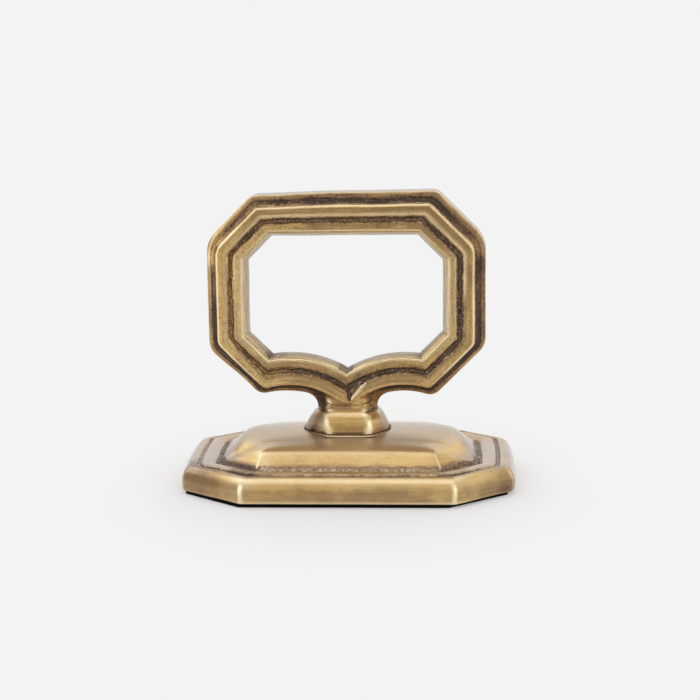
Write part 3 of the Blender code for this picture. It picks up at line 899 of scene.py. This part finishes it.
def makePedestal(seatZ):
    # a bell over a thin lip with a groove: below a small fillet it swells out from the neck, its width
    # between a quarter sine and a straight line, its depth sooner, so that it stands upright on the lip
    shape = pedestalShape
    foot = np.array([shape["footWidth"] / 2, shape["footDepth"] / 2, shape["footCorner"]])
    neck = np.array([shape["neckWidth"] / 2, shape["neckDepth"] / 2, shape["neckCorner"]])
    lip = seatZ + shape["lipHeight"]
    flareZ = seatZ + shape["flareStart"]
    groove = shape["lipGroove"]
    # height, inset from the foot's outline, patina, worn
    lipRows = bentPath(
        [
            (seatZ, 1.2, 0.8, 0.0),
            (seatZ, 0.12, 0.8, 0.0),
            (seatZ + 0.14, 0.00, 0.6, 0.1),
            (lip - 0.10, 0.00, 0.1, 0.5),
            (lip, 0.10, 0.4, 0.4),
            (lip + 0.08, groove, 1.0, 0.0),
            (flareZ - 0.10, groove * 0.7, 0.6, 0.0),
        ],
        (0, 0.06, 0.06, 0.06, 0.05, 0.08, 0), (3, 3, 3, 3, 3, 4), 4,
    )
    flareRows = np.linspace(flareZ, neckZ, 70)
    drop = np.clip((shape["sideTop"] - flareRows) / (shape["sideTop"] - flareZ), 0, 1)
    sine = shape["sineShare"]
    wide = (sine * np.sin(drop * math.pi / 2) + (1 - sine) * drop) * ramp(drop, *shape["sideFillet"])
    drop = np.clip((shape["frontTop"] - flareRows) / (shape["frontTop"] - flareZ), 0, 1)
    deep = (1 - (1 - drop) ** shape["frontPower"]) * ramp(drop, *shape["frontFillet"])
    sizes = neck + (foot - (groove * 0.5, groove * 0.5, 0) - neck) * np.stack([wide, deep, wide], axis=-1)
    sizes[:, 2] -= shape["cornerDip"] * wide * (1 - wide)
    halfX, halfY, leg = np.concatenate([foot - lipRows[:, 1:2] * (1, 1, 0.4), sizes]).T
    z = np.concatenate([lipRows[:, 0], flareRows])
    neckCut, moreCut = shape["flareCut"]
    cut = np.concatenate([np.full(len(lipRows), shape["lipCut"]), neckCut + moreCut * ramp(wide, 0.5, 1.0)])
    rings = lifted(cutRing(halfX, halfY, leg, leg, cut), z[:, None])
    lower = np.concatenate([np.ones(len(lipRows)), wide])
    toFront = ramp(rings[..., 1], *shape["shiftFrom"])
    rings[..., 0] += lower[:, None] * (shape["shift"] + shape["frontShift"] * toFront)
    socketZ = neckZ - shape["socketDepth"]
    radius = np.array([shape["socket"], shape["socket"], shape["hole"], shape["hole"]])
    inside = lifted(roundRing(radius, rings.shape[1]), np.array([neckZ, socketZ, socketZ, seatZ])[:, None])

    flare = rings[len(lipRows) :]
    side = flare[..., 0] / sizes[:, :1]
    where = {"x": flare[..., 0], "z": flare[..., 2], "side": side, "away": np.abs(side)}
    where |= {"over": flare[..., 2] - flareZ, "wide": wide[:, None], "deep": deep[:, None]}
    places = {name: patch(where, limits) for name, limits in pedestalPlaces.items()}
    places |= {name: bell(side, *stripe) for name, stripe in pedestalStripes.items()}
    patina, worn, paintedSheen, edges = (toned(places, levels) for levels in pedestalTones.values())
    # bright bends, partly edge wear and partly painted highlight
    edges = edges * bendMarks(*shape["brightBends"])
    patina, worn = np.clip(patina * (1 - edges), 0, 1), np.clip(worn + edges, 0, 1)
    lipPatina, lipWorn = lipRows[:, 2:3], lipRows[:, 3:]
    hidden = np.ones((len(inside), 1))
    marks = {
        "patina": spread([lipPatina, patina, shape["hiddenPatina"] * hidden]),
        "worn": spread([lipWorn, worn, 0 * hidden]),
        "paintedSheen": spread([0 * lipWorn, paintedSheen, 0 * hidden]),
    }
    grid = np.concatenate([rings, inside])
    wave = lumps(rings, 3.0, 21) * shape["wave"]
    grid[: len(rings)] += normalsOf(grid)[: len(rings)] * wave[..., None]
    piece = surface("flared_pedestal", grid, marks, pedestalBrass)
    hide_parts("pedestal")
    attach(piece, "root")


# Base

baseShape = {
    "shift": 0.30,  # sits this far to the right of the loop
    "widen": 0.25,
    "cornerX": 11.9,
    "cornerY": 9.8,
    "bottom": 0.72,
    "tuck": 0.10,
    "sideZ": 2.2,
    "bow": 0.62,  # the ends bulge by this much, within a half depth
    "bowDepth": 14.0,
    "bowFrom": (21, 30),
    "rimZ": 5.72,
    "rimWidth": 2.35,
    "endSteps": 0.40,  # groove and step lie this much further in at the ends
    "endRows": (1.8, 2.6, 6.1, 6.9),
    "chamferStart": 7.0,
    "chamferZ": 5.35,
    "chamferRun": 3.35,
    "endSlope": 1.48,
    "crownShift": 0.25,
    "crownShiftRun": (0.2, 3.0),
    "crownRun": 11.2,
    "crownRise": 2.1,
    "crownBack": 0.4,  # more of a rise towards the back
    "crownBackRun": (-5, 6),
    "crownMelt": (0.5, 2.0),  # at its edge, and more higher up
    "ridgeBlend": 0.24,
    "slopeRun": 4.6,  # rings follow the outline this far up the dome, then they turn into the seat
    "slopeRings": 40,
    "seatRings": 45,
    "hipBlend": (0.45, 2.2),  # where end and slanted faces meet: at the edge, and more higher up
    "hipRun": (0.3, 3.0),
    "frontShift": 0.45,  # the front corners lie this far to the right
    "frontShiftPlace": {"y": (-9, -17), "away": (29, 23)},
    "rimCut": (0.95, -0.35),  # at the side, and what it changes by further in
    "domeCut": (0.45, 0.9),
    "seatWidth": 17.5,
    "seatDepth": 12.3,
    "seatCorner": 4.2,
    "seatDrop": 0.25,
    "wall": 4.0,
    "ceiling": 3.2,
    "ceilingInsets": (14.0, 9.45),  # beside the boss, and where it is level
    "boss": 6.5,
    "bossZ": 6.5,
    "bossRoot": (1.4, 0.9),  # above its face: where it ends, and the ceiling beside it
    "hole": 2.3,
    "hiddenPatina": 0.6,
    "domePatina": (0.04, 0.60),  # everywhere, and more at its foot
    "footRun": (1.6, 0.3),
    "stainSmooth": 0.5,
    # bright worn bends of rim and dome, partly edge wear and partly painted highlight
    "rimBends": (1.0, 0.3),
    "domeBends": (0.5, 0.0),
    "wave": 0.03,
    "roughCasting": 0.13,
}

# from the rim's crest to the foot of the dome: inset, height, patina, worn, rough, corner cut
baseSteps = np.array(
    [
        (2.35, 5.72, 0.10, 0.3, 0.0, 0.00),
        (2.58, 5.66, 0.46, 0.0, 0.3, 0.08),
        (2.86, 5.26, 1.00, 0.0, 0.8, 0.16),
        (3.26, 5.26, 0.95, 0.0, 0.8, 0.14),
        (3.52, 5.70, 0.50, 0.2, 0.5, 0.12),
        (3.90, 5.92, 0.16, 0.5, 0.1, 0.22),
        (4.60, 5.97, 0.12, 0.2, 0.2, 0.35),
        (5.50, 5.88, 0.12, 0.2, 0.2, 0.35),
        (6.12, 5.56, 0.36, 0.0, 0.8, 0.25),
        (6.40, 5.16, 0.90, 0.0, 1.0, 0.18),
        (6.80, 5.14, 0.80, 0.0, 1.0, 0.16),
        (7.00, 5.35, 0.62, 0.0, 1.0, 0.00),
    ]
)


def insetSizes(inset):
    # half sizes and corner legs of the base's outline moved inwards by the same amount all round
    shape = baseShape
    halfX, halfY = (baseHigh - baseLow)[:2] / 2
    slant = math.hypot(shape["cornerX"], shape["cornerY"])
    lost = inset * (shape["cornerX"] + shape["cornerY"] - slant)
    legs = shape["cornerX"] - lost / shape["cornerY"], shape["cornerY"] - lost / shape["cornerX"]
    return halfX + shape["widen"] - inset, halfY - inset, *legs


def domeHeight(x, y):
    # slanted faces rise with the distance from the dome's edge, and a crown caps them, a parabola across
    # the depth, a little to the right; its edge is crisp along the front and back and melts into the ends
    shape = baseShape
    halfX, halfY, legX, legY = insetSizes(shape["chamferStart"])
    fromX, fromY = halfX - np.abs(x), halfY - np.abs(y)
    fromX = fromX + np.sign(x) * shape["crownShift"] * ramp(fromX, *shape["crownShiftRun"])
    slant = (fromX * legY + fromY * legX - legX * legY) / math.hypot(legX, legY)
    atEdge, more = shape["hipBlend"]
    blend = atEdge + more * ramp(np.minimum(fromX, slant), *shape["hipRun"])
    ends = softMin(fromX * shape["endSlope"], slant, blend)
    run = shape["chamferRun"]
    left = np.clip((run + shape["crownRun"] - fromY) / shape["crownRun"], 0, None)
    crown = run + shape["crownRise"] * (1 - left**2) + shape["crownBack"] * ramp(y, *shape["crownBackRun"])
    atEdge, more = shape["crownMelt"]
    pillow = softMin(crown, ends, atEdge + more * ramp(fromY, run - 0.2, run + 4.5))
    return shape["chamferZ"] + softMin(fromY, pillow, shape["ridgeBlend"])


# patches of the base by inset from its outline, which runs on over the dome, and by the way to the seat
rimRows, stepRows, domeRows = (2.3, 2.0), (2.3, 2.6, 6.7, 6.9), (7.2, 7.7, 10.1, 10.7)
slopeRows, crownRows = (7.4, 8.2, 9.0, 10.6), (9.0, 10.6)
basePlaces = {
    "all": {},
    "rimEdges": {"inset": rimRows, "z": (5.5, 4.3)},
    "leftRim": {"inset": rimRows, "x": (-28, -30), "z": (4.0, 5.0)},
    # the left face painted darker, as shade from the dim left of the room, less so low down
    "leftFaceShade": {"inset": rimRows, "x": (-23, -27), "y": (-9, -12), "z": (5.6, 5.1)},
    "leftFaceShadeLow": {"inset": rimRows, "x": (-23, -27), "y": (-9, -12), "z": (4.4, 2.2)},
    # a painted highlight on the rim's left front corner, through the worn mark
    "leftCorner": {"inset": rimRows, "x": (-15.5, -20), "y": (-17.5, -19.5), "z": (2.5, 4.0)},
    "frontMiddle": {"inset": rimRows, "y": (-18, -20), "z": (3.8, 2.4)},
    "frontRight": {"inset": rimRows, "x": (5, 9, 15, 18), "y": (-17, -19)},
    "rightFace": {"inset": rimRows, "x": (23.5, 28), "y": (-9, -13)},
    "rightFaceLow": {"inset": rimRows, "x": (23.5, 28), "y": (-9, -13), "z": (4.0, 2.8)},
    "rightEnd": {"inset": rimRows, "x": (29, 31)},
    "front": {"x": (-23.6, -20.1, 20.9, 24.4), "y": (-14, -19)},
    "endSteps": {"inset": stepRows, "away": (22, 25)},
    "leftSteps": {"inset": stepRows, "away": (22, 25), "x": (-20, -24)},
    "leftStain": {"x": (-16, -19), "y": (-4, -8), "z": (5.2, 5.6, 5.9, 6.9)},
    "rightStain": {"x": (16.5, 20, 25, 28), "y": (-3, -7), "z": (5.2, 5.6, 6.0, 8.2)},
    "crevice": {"inset": (6.2, 6.6, 7.5, 7.9), "away": (18.5, 17.5), "y": (-10, -12)},
    "dome": {"inset": domeRows},
    "domeFront": {"inset": domeRows, "y": (-10, -12)},
    "rightDome": {"inset": domeRows, "x": (18, 20), "y": (-2, -6)},
    "leftSlope": {"inset": slopeRows, "x": (-17.5, -21.5), "y": (-11, -6)},
    "rightSlope": {"inset": slopeRows, "x": (19.5, 22.5), "y": (-11, -6)},
    # the crown is made paler through the worn mark, a painted reflection, and pale grey on its top
    "crown": {"inset": crownRows},
    "crownTop": {"inset": crownRows, "z": (8.3, 9.9)},
    "crownFoot": {"inset": crownRows, "z": (9.9, 8.3), "away": (19, 17)},
    # a painted contact shadow on the dome round the pedestal's foot, wider in front
    "seatShadow": {"toSeat": (0.975, 1.0)},
    "seatFrontShadow": {"toSeat": (0.80, 0.97), "y": (-4.5, -6.0)},
}
# a stain at the front middle, and a painted highlight on the dome's left bend: middle and width
baseBells = {"frontMiddle": (-2, 8), "leftBendHighlight": (-16.8, 1.4)}
# the patina at the seat is a painted contact shadow and on the left face painted shade; the wear on the left
# bend, the left corner and the crown is painted highlight and a paler painted reflection; the pale grey
# patches are painted reflections
baseTones = {
    "patina": {
        "seatShadow": 0.50, "seatFrontShadow": 0.45, "rightDome": 0.08, "leftFaceShade": 0.44, "leftFaceShadeLow": -0.22,
        "rightFace": 0.16, "rightFaceLow": 0.20, "rightEnd": 0.10, "frontMiddle": 0.14, "frontRight": 0.10,
        "rightStreaks": 0.25, "leftStain": 0.45, "endSteps": -0.22, "leftSteps": -0.22,
    },
    # wear kept mostly along the front, where it also paints the rim's highlight
    "keptWear": {"all": 0.10, "front": 0.90},
    "worn": {"leftBendHighlight": 0.35, "leftCorner": 0.25, "crown": 0.10, "crownFoot": 0.25},
    "rough": {"crevice": 0.90, "agedSteps": 0.90},
    # painted pale grey reflections on the crown, the ends and the slopes
    "paintedSheen": {
        "crownTop": 0.54, "endSteps": 0.34, "leftSteps": 0.16, "leftRim": 0.45, "rightSlope": 0.50,
        "leftSlope": 0.75,
    },
}


def baseProfile():
    # from the hollow's edge round the rim, a quarter ellipse from the side to the crest, and over the
    # steps; columns are inset, height, patina, worn, rough
    shape = baseShape
    bottom, sideZ, tuck = shape["bottom"], shape["sideZ"], shape["tuck"]
    angle = np.linspace(0, math.pi / 2, 40)[:-1]
    # the lower side is darker, painted shade for a darker reflection, lighter up the curve; the worn bottom
    # edge and the band below the crest are partly edge wear and partly painted highlight
    side = bentPath(
        [
            (shape["wall"], bottom, 0.6, 0, 0),
            (tuck + 0.2, bottom, 0.3, 0, 0),
            (tuck, bottom + 0.2, 0.05, 0.8, 0),
            (tuck * 0.5, bottom + 0.7, 0.20, 0.0, 0),
            (0.0, sideZ, 0.20, 0.0, 0),
        ],
        (0, 0.15, 0.15, 0.1, 0), (4, 3, 6, 12), 5,
    )[:-1]
    rim = np.stack(
        [
            shape["rimWidth"] * (1 - np.cos(angle)),
            sideZ + (shape["rimZ"] - sideZ) * np.sin(angle),
            0.20 - 0.18 * ramp(angle, 0.1, 0.8) + 0.10 * ramp(angle, 1.25, math.pi / 2),
            0.45 * within(angle, (0.65, 0.95, 1.2, 1.5)),
            0 * angle,
        ],
        axis=-1,
    )
    top = bentPath(baseSteps[:, :5], baseSteps[:, 5], (3, 4, 3, 4, 3, 4, 5, 4, 4, 3, 3), 5)
    return np.concatenate([side, rim, top])


def rimRings(profile):
    # the outline moved in by each inset, at its height; groove and step lie further in at the ends
    shape = baseShape
    inset, height = profile[:, 0], profile[:, 1:2]
    halfX, halfY, legX, legY = insetSizes(inset)
    inwards = shape["endSteps"] * within(inset, shape["endRows"])
    legY = legY - inwards * legY / legX
    outerCut, change = shape["rimCut"]
    cut = outerCut + change * ramp(inset, 1.0, 3.0)
    return lifted(cutRing(halfX - inwards, halfY, legX - inwards, legY, cut), height)


def domeRings():
    # from the dome's edge to the pedestal's seat, with the height worked out for each point
    shape, leg = baseShape, pedestalShape
    slopes, seats, reach = shape["slopeRings"], shape["seatRings"], shape["slopeRun"]
    run = np.concatenate([np.linspace(0.08, reach, slopes), np.full(seats, reach)])
    toSeat = np.concatenate([np.zeros(slopes), np.linspace(0, 1, seats + 1)[1:]])
    seat = (shape["seatWidth"] / 2, shape["seatDepth"] / 2, shape["seatCorner"], shape["seatCorner"])
    sizes = [a + (b - a) * toSeat for a, b in zip(insetSizes(shape["chamferStart"] + run), seat)]
    lowCut, change = shape["domeCut"]
    plan = cutRing(*sizes, lowCut + change * ramp(run, reach - 1.3, reach))
    z = domeHeight(plan[..., 0], plan[..., 1])
    astray = leg["shift"] - shape["shift"] + leg["frontShift"] * ramp(plan[..., 1], *leg["shiftFrom"])
    plan[..., 0] += astray * ramp(toSeat, 0.6, 1.0)[:, None]
    return lifted(plan, z), run, toSeat


def hollowRings(seat, seatZ):
    # from the seat's floor through the hole, round the boss and under the ceiling to the wall
    shape = baseShape
    bossZ, ceiling, wall = shape["bossZ"], shape["ceiling"], shape["wall"]
    holes = np.array([shape["hole"], shape["hole"], shape["boss"], shape["boss"]])
    bossEnd, beside = shape["bossRoot"]
    heights = np.array([seatZ, bossZ, bossZ, bossZ + bossEnd])
    insets = np.array([*shape["ceilingInsets"], wall])
    ceilings = np.array([bossZ + beside, ceiling, ceiling])
    return [
        lifted(seat, seatZ),
        lifted(roundRing(holes, seat.shape[1]), heights[:, None]),
        lifted(cutRing(*insetSizes(insets), np.full(len(insets), 0.6)), ceilings[:, None]),
    ]


def baseMarks(grid, profile, run, toSeat):
    # the profile's own tones, dark grit round the dome's foot and the patches above; bends are bright,
    # partly edge wear and partly painted highlight
    shape = baseShape
    x, y, z = np.moveaxis(grid, -1, 0)
    foot = ramp(run, *shape["footRun"])
    plain, more = shape["domePatina"]
    start = [profile[:, 2:], np.stack([plain + more * foot, 0 * foot, foot], axis=-1)]
    patina, worn, rough = np.concatenate(start).T[..., None]
    inset = np.concatenate([profile[:, 0], shape["chamferStart"] + run])[:, None]
    way = np.concatenate([0 * profile[:, 0], toSeat])[:, None]
    where = {"x": x, "y": y, "z": z, "away": np.abs(x), "inset": inset, "toSeat": way}
    places = {name: patch(where, limits) for name, limits in basePlaces.items()}
    streaks = 0.5 + 0.5 * lumps(grid * (0.5, 0.5, 4), 1.0, 34)
    places["rightStreaks"] = streaks * places["rightStain"]
    places["frontMiddle"] = places["frontMiddle"] * bell(x, *baseBells["frontMiddle"])
    places["leftBendHighlight"] = places["domeFront"] * bell(x, *baseBells["leftBendHighlight"])
    places["crevice"] = places["crevice"] * np.concatenate([1 + 0 * profile[:, 0], foot])[:, None]
    patina = patina + toned(places, baseTones["patina"])
    places["agedSteps"] = places["endSteps"] * patina
    stained = np.clip(places["rightStain"] + places["leftStain"], 0, 1)
    rough = (rough + toned(places, baseTones["rough"])) * (1 - shape["stainSmooth"] * stained)
    worn = worn * toned(places, baseTones["keptWear"]) + toned(places, baseTones["worn"])
    edges = places["rimEdges"] * bendMarks(*shape["rimBends"])
    edges = edges + places["dome"] * bendMarks(*shape["domeBends"])
    paintedSheen = toned(places, baseTones["paintedSheen"])
    return np.clip(patina * (1 - edges), 0, 1), np.clip(worn + edges, 0, 1), rough, paintedSheen


def makeBase():
    # waves and cast grit move what shows along its normals, then the ends bulge as a parabola
    shape = baseShape
    profile = baseProfile()
    dome, run, toSeat = domeRings()
    shown = np.concatenate([rimRings(profile), dome])
    seatRimZ = dome[-1, :, 2].min()
    hollow = hollowRings(dome[-1:, :, :2], seatRimZ - shape["seatDrop"])
    patina, worn, rough, paintedSheen = baseMarks(shown, profile, run, toSeat)
    wave = lumps(shown, 9.0, 31) * shape["wave"]
    cast = (lumps(shown, 0.7, 32) + 0.6 * lumps(shown, 0.35, 33)) * shape["roughCasting"] * rough
    grid = np.concatenate([shown, *hollow])
    grid[: len(shown)] += normalsOf(grid)[: len(shown)] * (wave + cast)[..., None]
    x, y = grid[..., 0], grid[..., 1]
    bulge = shape["bow"] * np.clip(1 - (y / shape["bowDepth"]) ** 2, 0, 1)
    x += np.sign(x) * bulge * ramp(np.abs(x), *shape["bowFrom"]) + shape["shift"]
    x += shape["frontShift"] * patch({"y": y, "away": np.abs(x)}, shape["frontShiftPlace"])
    hidden = np.ones((len(grid) - len(shown), 1))
    marks = {
        "patina": spread([patina, shape["hiddenPatina"] * hidden]),
        "worn": spread([worn, 0 * hidden]),
        "rough": spread([rough, 0 * hidden]),
        "paintedSheen": spread([paintedSheen, 0 * hidden]),
    }
    piece = surface("domed_base", grid, marks, baseBrass)
    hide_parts("base")
    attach(piece, "root")
    return seatRimZ


seatRim = makeBase()
makePedestal(seatRim - pedestalShape["sink"])


# Felt pad

padShape = {
    "inset": 0.55,
    "endInset": 0.30,
    "edge": 0.10,
    "thickness": 0.76,
    "wave": 0.05,
    "ringInsets": (18.0, 10.0),  # rings of the flat faces, towards their middle
}


def makePad():
    # a flat slab with softened edges, from the middle of its underside to the middle of its top
    shape = padShape
    edge, thick, inset = shape["edge"], shape["thickness"], shape["inset"]
    inner, outer = shape["ringInsets"]
    profile = bentPath(
        [
            (inner, 0), (outer, 0), (inset + edge, 0), (inset, edge),
            (inset, thick - edge), (inset + edge, thick), (outer, thick), (inner, thick),
        ],
        (0, 1, 0.05, 0.05, 0.05, 0.05, 1, 0), (4, 8, 3, 4, 3, 8, 4), 3,
    )
    sizes = insetSizes(profile[:, 0])
    sizes = [np.maximum(v, 0.05) for v in (sizes[0] - shape["endInset"], *sizes[1:])]
    rings = lifted(cutRing(*sizes, np.minimum(0.4, sizes[3] / 3)), profile[:, 1:2])
    outward = rings[..., :2] / np.linalg.norm(rings[..., :2], axis=-1, keepdims=True)
    frayed = lumps(rings * (1, 1, 0), 1.2, 41) * shape["wave"] * ramp(profile[:, :1], 2.0, 1.0)
    rings[..., :2] += outward * frayed[..., None]
    piece = surface("felt_backing", rings, {"patina": np.zeros((1, 1))}, felt, capped=True)
    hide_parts("felt_pad")
    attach(piece, "root")
    halfX, halfY, legX, legY = (np.array(insetSizes(inset)) - (shape["endInset"], 0, 0, 0)) * mm
    area = 4 * halfX * halfY - 2 * legX * legY


makePad()


# Screw and washers keep the shape of their solids

for node in ("clamp_screw", "flat_washer", "spring_washer"):
    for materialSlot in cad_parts[node].material_slots:
        materialSlot.material = steel


# Studio

studio = {
    "paper": 0.896,
    # a matt grey darker than the paper: near the object a painted shadow halo over the real shadow
    "matt": (0.838, 0.838, 0.838, 1),
    "floorRadius": 40.0,
    "floorGap": 0.00003,
    "shadowShare": 0.74,
    "shadowNarrow": 1.25,
    "fadeStart": 0.030,
    "fadeEnd": 0.072,
    "frontEdge": 0.114,  # nearer than this the floor lies outside the picture and is less lit
    "frontFade": 0.03,
    # the painted light level of the front floor, outside the picture
    "frontLevel": 0.66,
    "roomLevel": 0.52,
    "dimTint": (1.0, 0.93, 0.84, 1),
    "brightTint": (1.0, 1.0, 1.0, 1),
}

# what the room's lights look like from the object: turn from the front to the right and height in
# degrees, half angle where full, half angle where gone, level
roomLights = {
    "overhead": (0, 84, 14, 32, 0.78),
    "frontHigh": (0, 40, 10, 36, 0.40),
    "leftFront": (-50, 20, 8, 26, 1.00),
    "rightFront": (50, 20, 8, 26, 1.00),
    "back": (180, 30, 18, 48, 0.42),
    "leftBack": (-110, 46, 12, 34, 0.95),
    "rightBack": (115, 40, 12, 42, 0.50),
    "right": (98, 5, 14, 38, 0.40),
    "left": (-97, 10, 12, 28, -0.12),
    "leftHigh": (-86, 27, 6, 18, -0.10),
    "rightHigh": (84, 26, 6, 18, -0.12),
}
# the floor in front, outside the picture, is painted brighter in the same way with the turn alone
paintedFloorLight = {
    "leftFront": (-45, 8, 40, 0.70),
    "rightFront": (48, 8, 36, 0.55),
}


def compass(turn, height=0.0):
    # unit direction of a turn from the front and a height, in degrees
    turn, height = math.radians(turn), math.radians(height)
    return math.sin(turn) * math.cos(height), -math.cos(turn) * math.cos(height), math.sin(height)


def litFrom(wire, direction, middle, full, gone):
    # 1 inside one angle from a light's middle, 0 outside another
    facing = wire.vector("DOT_PRODUCT", direction, middle, output="Value")
    return facing.eased(math.cos(math.radians(gone)), math.cos(math.radians(full)))


def makeFloor():
    # pale paper that camera, reflections and glass see alike: near the object it turns matt and takes the
    # object's real shadow, and its matt grey is darker than the paper, a painted shadow halo that fades
    # over an oval into the plain background; in front, outside the picture, it is painted less lit
    finish, wire, shader = newFinish("palePaper")
    tree = finish.node_tree
    place = wire.node("ShaderNodeTexCoord", output="Object")
    oval = place.stretched((studio["shadowNarrow"], 1, 1))
    distance = wire.vector("LENGTH", oval, output="Value")
    bearing = wire.vector("NORMALIZE", place)
    ahead = wire.vector("DOT_PRODUCT", place, (0, -1, 0), output="Value")
    rays = ("Is Camera Ray", "Is Glossy Ray", "Is Transmission Ray")
    camera, glossy, glass = (wire.node("ShaderNodeLightPath", output=ray) for ray in rays)
    seen = camera + glossy + glass
    near = 1 - distance.eased(studio["fadeStart"], studio["fadeEnd"])
    front = studio["frontLevel"]
    for turn, full, gone, strength in paintedFloorLight.values():
        front = litFrom(wire, bearing, compass(turn), full, gone) * strength + front
    outside = ahead.eased(studio["frontEdge"], studio["frontEdge"] + studio["frontFade"])
    level = studio["paper"] + outside * (front - studio["paper"])
    glow = wire.node("ShaderNodeEmission", {}, {"Strength": level})
    matt = wire.node("ShaderNodeBsdfDiffuse", {}, {"Color": studio["matt"]})
    shown = seen * (1 - near * studio["shadowShare"])
    mixed = wire.node("ShaderNodeMixShader", {}, {0: shown, 1: matt, 2: glow})
    tree.links.new(mixed.socket, tree.nodes["Material Output"].inputs["Surface"])
    radius = studio["floorRadius"]
    angle = np.linspace(0, 2 * math.pi, 64, endpoint=False)
    below = np.full(len(angle), -studio["floorGap"])
    rim = np.stack([radius * np.cos(angle), radius * np.sin(angle), below], axis=-1)
    mesh = bpy.data.meshes.new("paper_floor")
    mesh.from_pydata(rim.tolist(), [], [list(range(len(rim)))])
    mesh.materials.append(finish)
    floor = bpy.data.objects.new("paper_floor", mesh)
    bpy.context.scene.collection.objects.link(floor)


def makeWorld():
    # a dim room with soft round lights
    world = bpy.data.worlds.new("studio")
    bpy.context.scene.world = world
    world.use_nodes = True
    tree = world.node_tree
    wire = Wire(tree)
    direction = wire.node("ShaderNodeTexCoord", output="Generated")
    level = studio["roomLevel"]
    for turn, height, full, gone, strength in roomLights.values():
        level = litFrom(wire, direction, compass(turn, height), full, gone) * strength + level
    tint = level.eased(0.4, 1.0).blend(studio["dimTint"], studio["brightTint"])
    feed(tree.nodes["Background"], Color=tint, Strength=level)


cameraSet = {
    "aim": (0.5, 0.0, 26.7),
    "distance": 361.8,
    "heading": 3.246,
    "pitch": 11.502,
    "roll": -0.75,
    "focalPixels": 1800,
    "imagePixels": 700,
    "sensor": 36.0,
}


def makeCamera():
    # turned by heading, pitch and roll, and set back from its aim by the distance
    values = cameraSet
    lens = bpy.data.cameras.new("photo_camera")
    lens.sensor_width = values["sensor"]
    lens.lens = values["focalPixels"] / values["imagePixels"] * values["sensor"]
    lens.clip_start = 0.01
    turn = (
        Matrix.Rotation(math.radians(values["heading"]), 4, "Z")
        @ Matrix.Rotation(math.radians(90 - values["pitch"]), 4, "X")
        @ Matrix.Rotation(math.radians(values["roll"]), 4, "Z")
    )
    aim = np.array(values["aim"])
    place = (aim + values["distance"] * np.array(turn.col[2][:3])) * mm
    camera = bpy.data.objects.new("photo_camera", lens)
    camera.matrix_world = Matrix.Translation(place.tolist()) @ turn
    bpy.context.scene.collection.objects.link(camera)
    bpy.context.scene.camera = camera


makeFloor()
makeWorld()
makeCamera()
bpy.context.scene.view_settings.view_transform = "Standard"
print("studio ready")
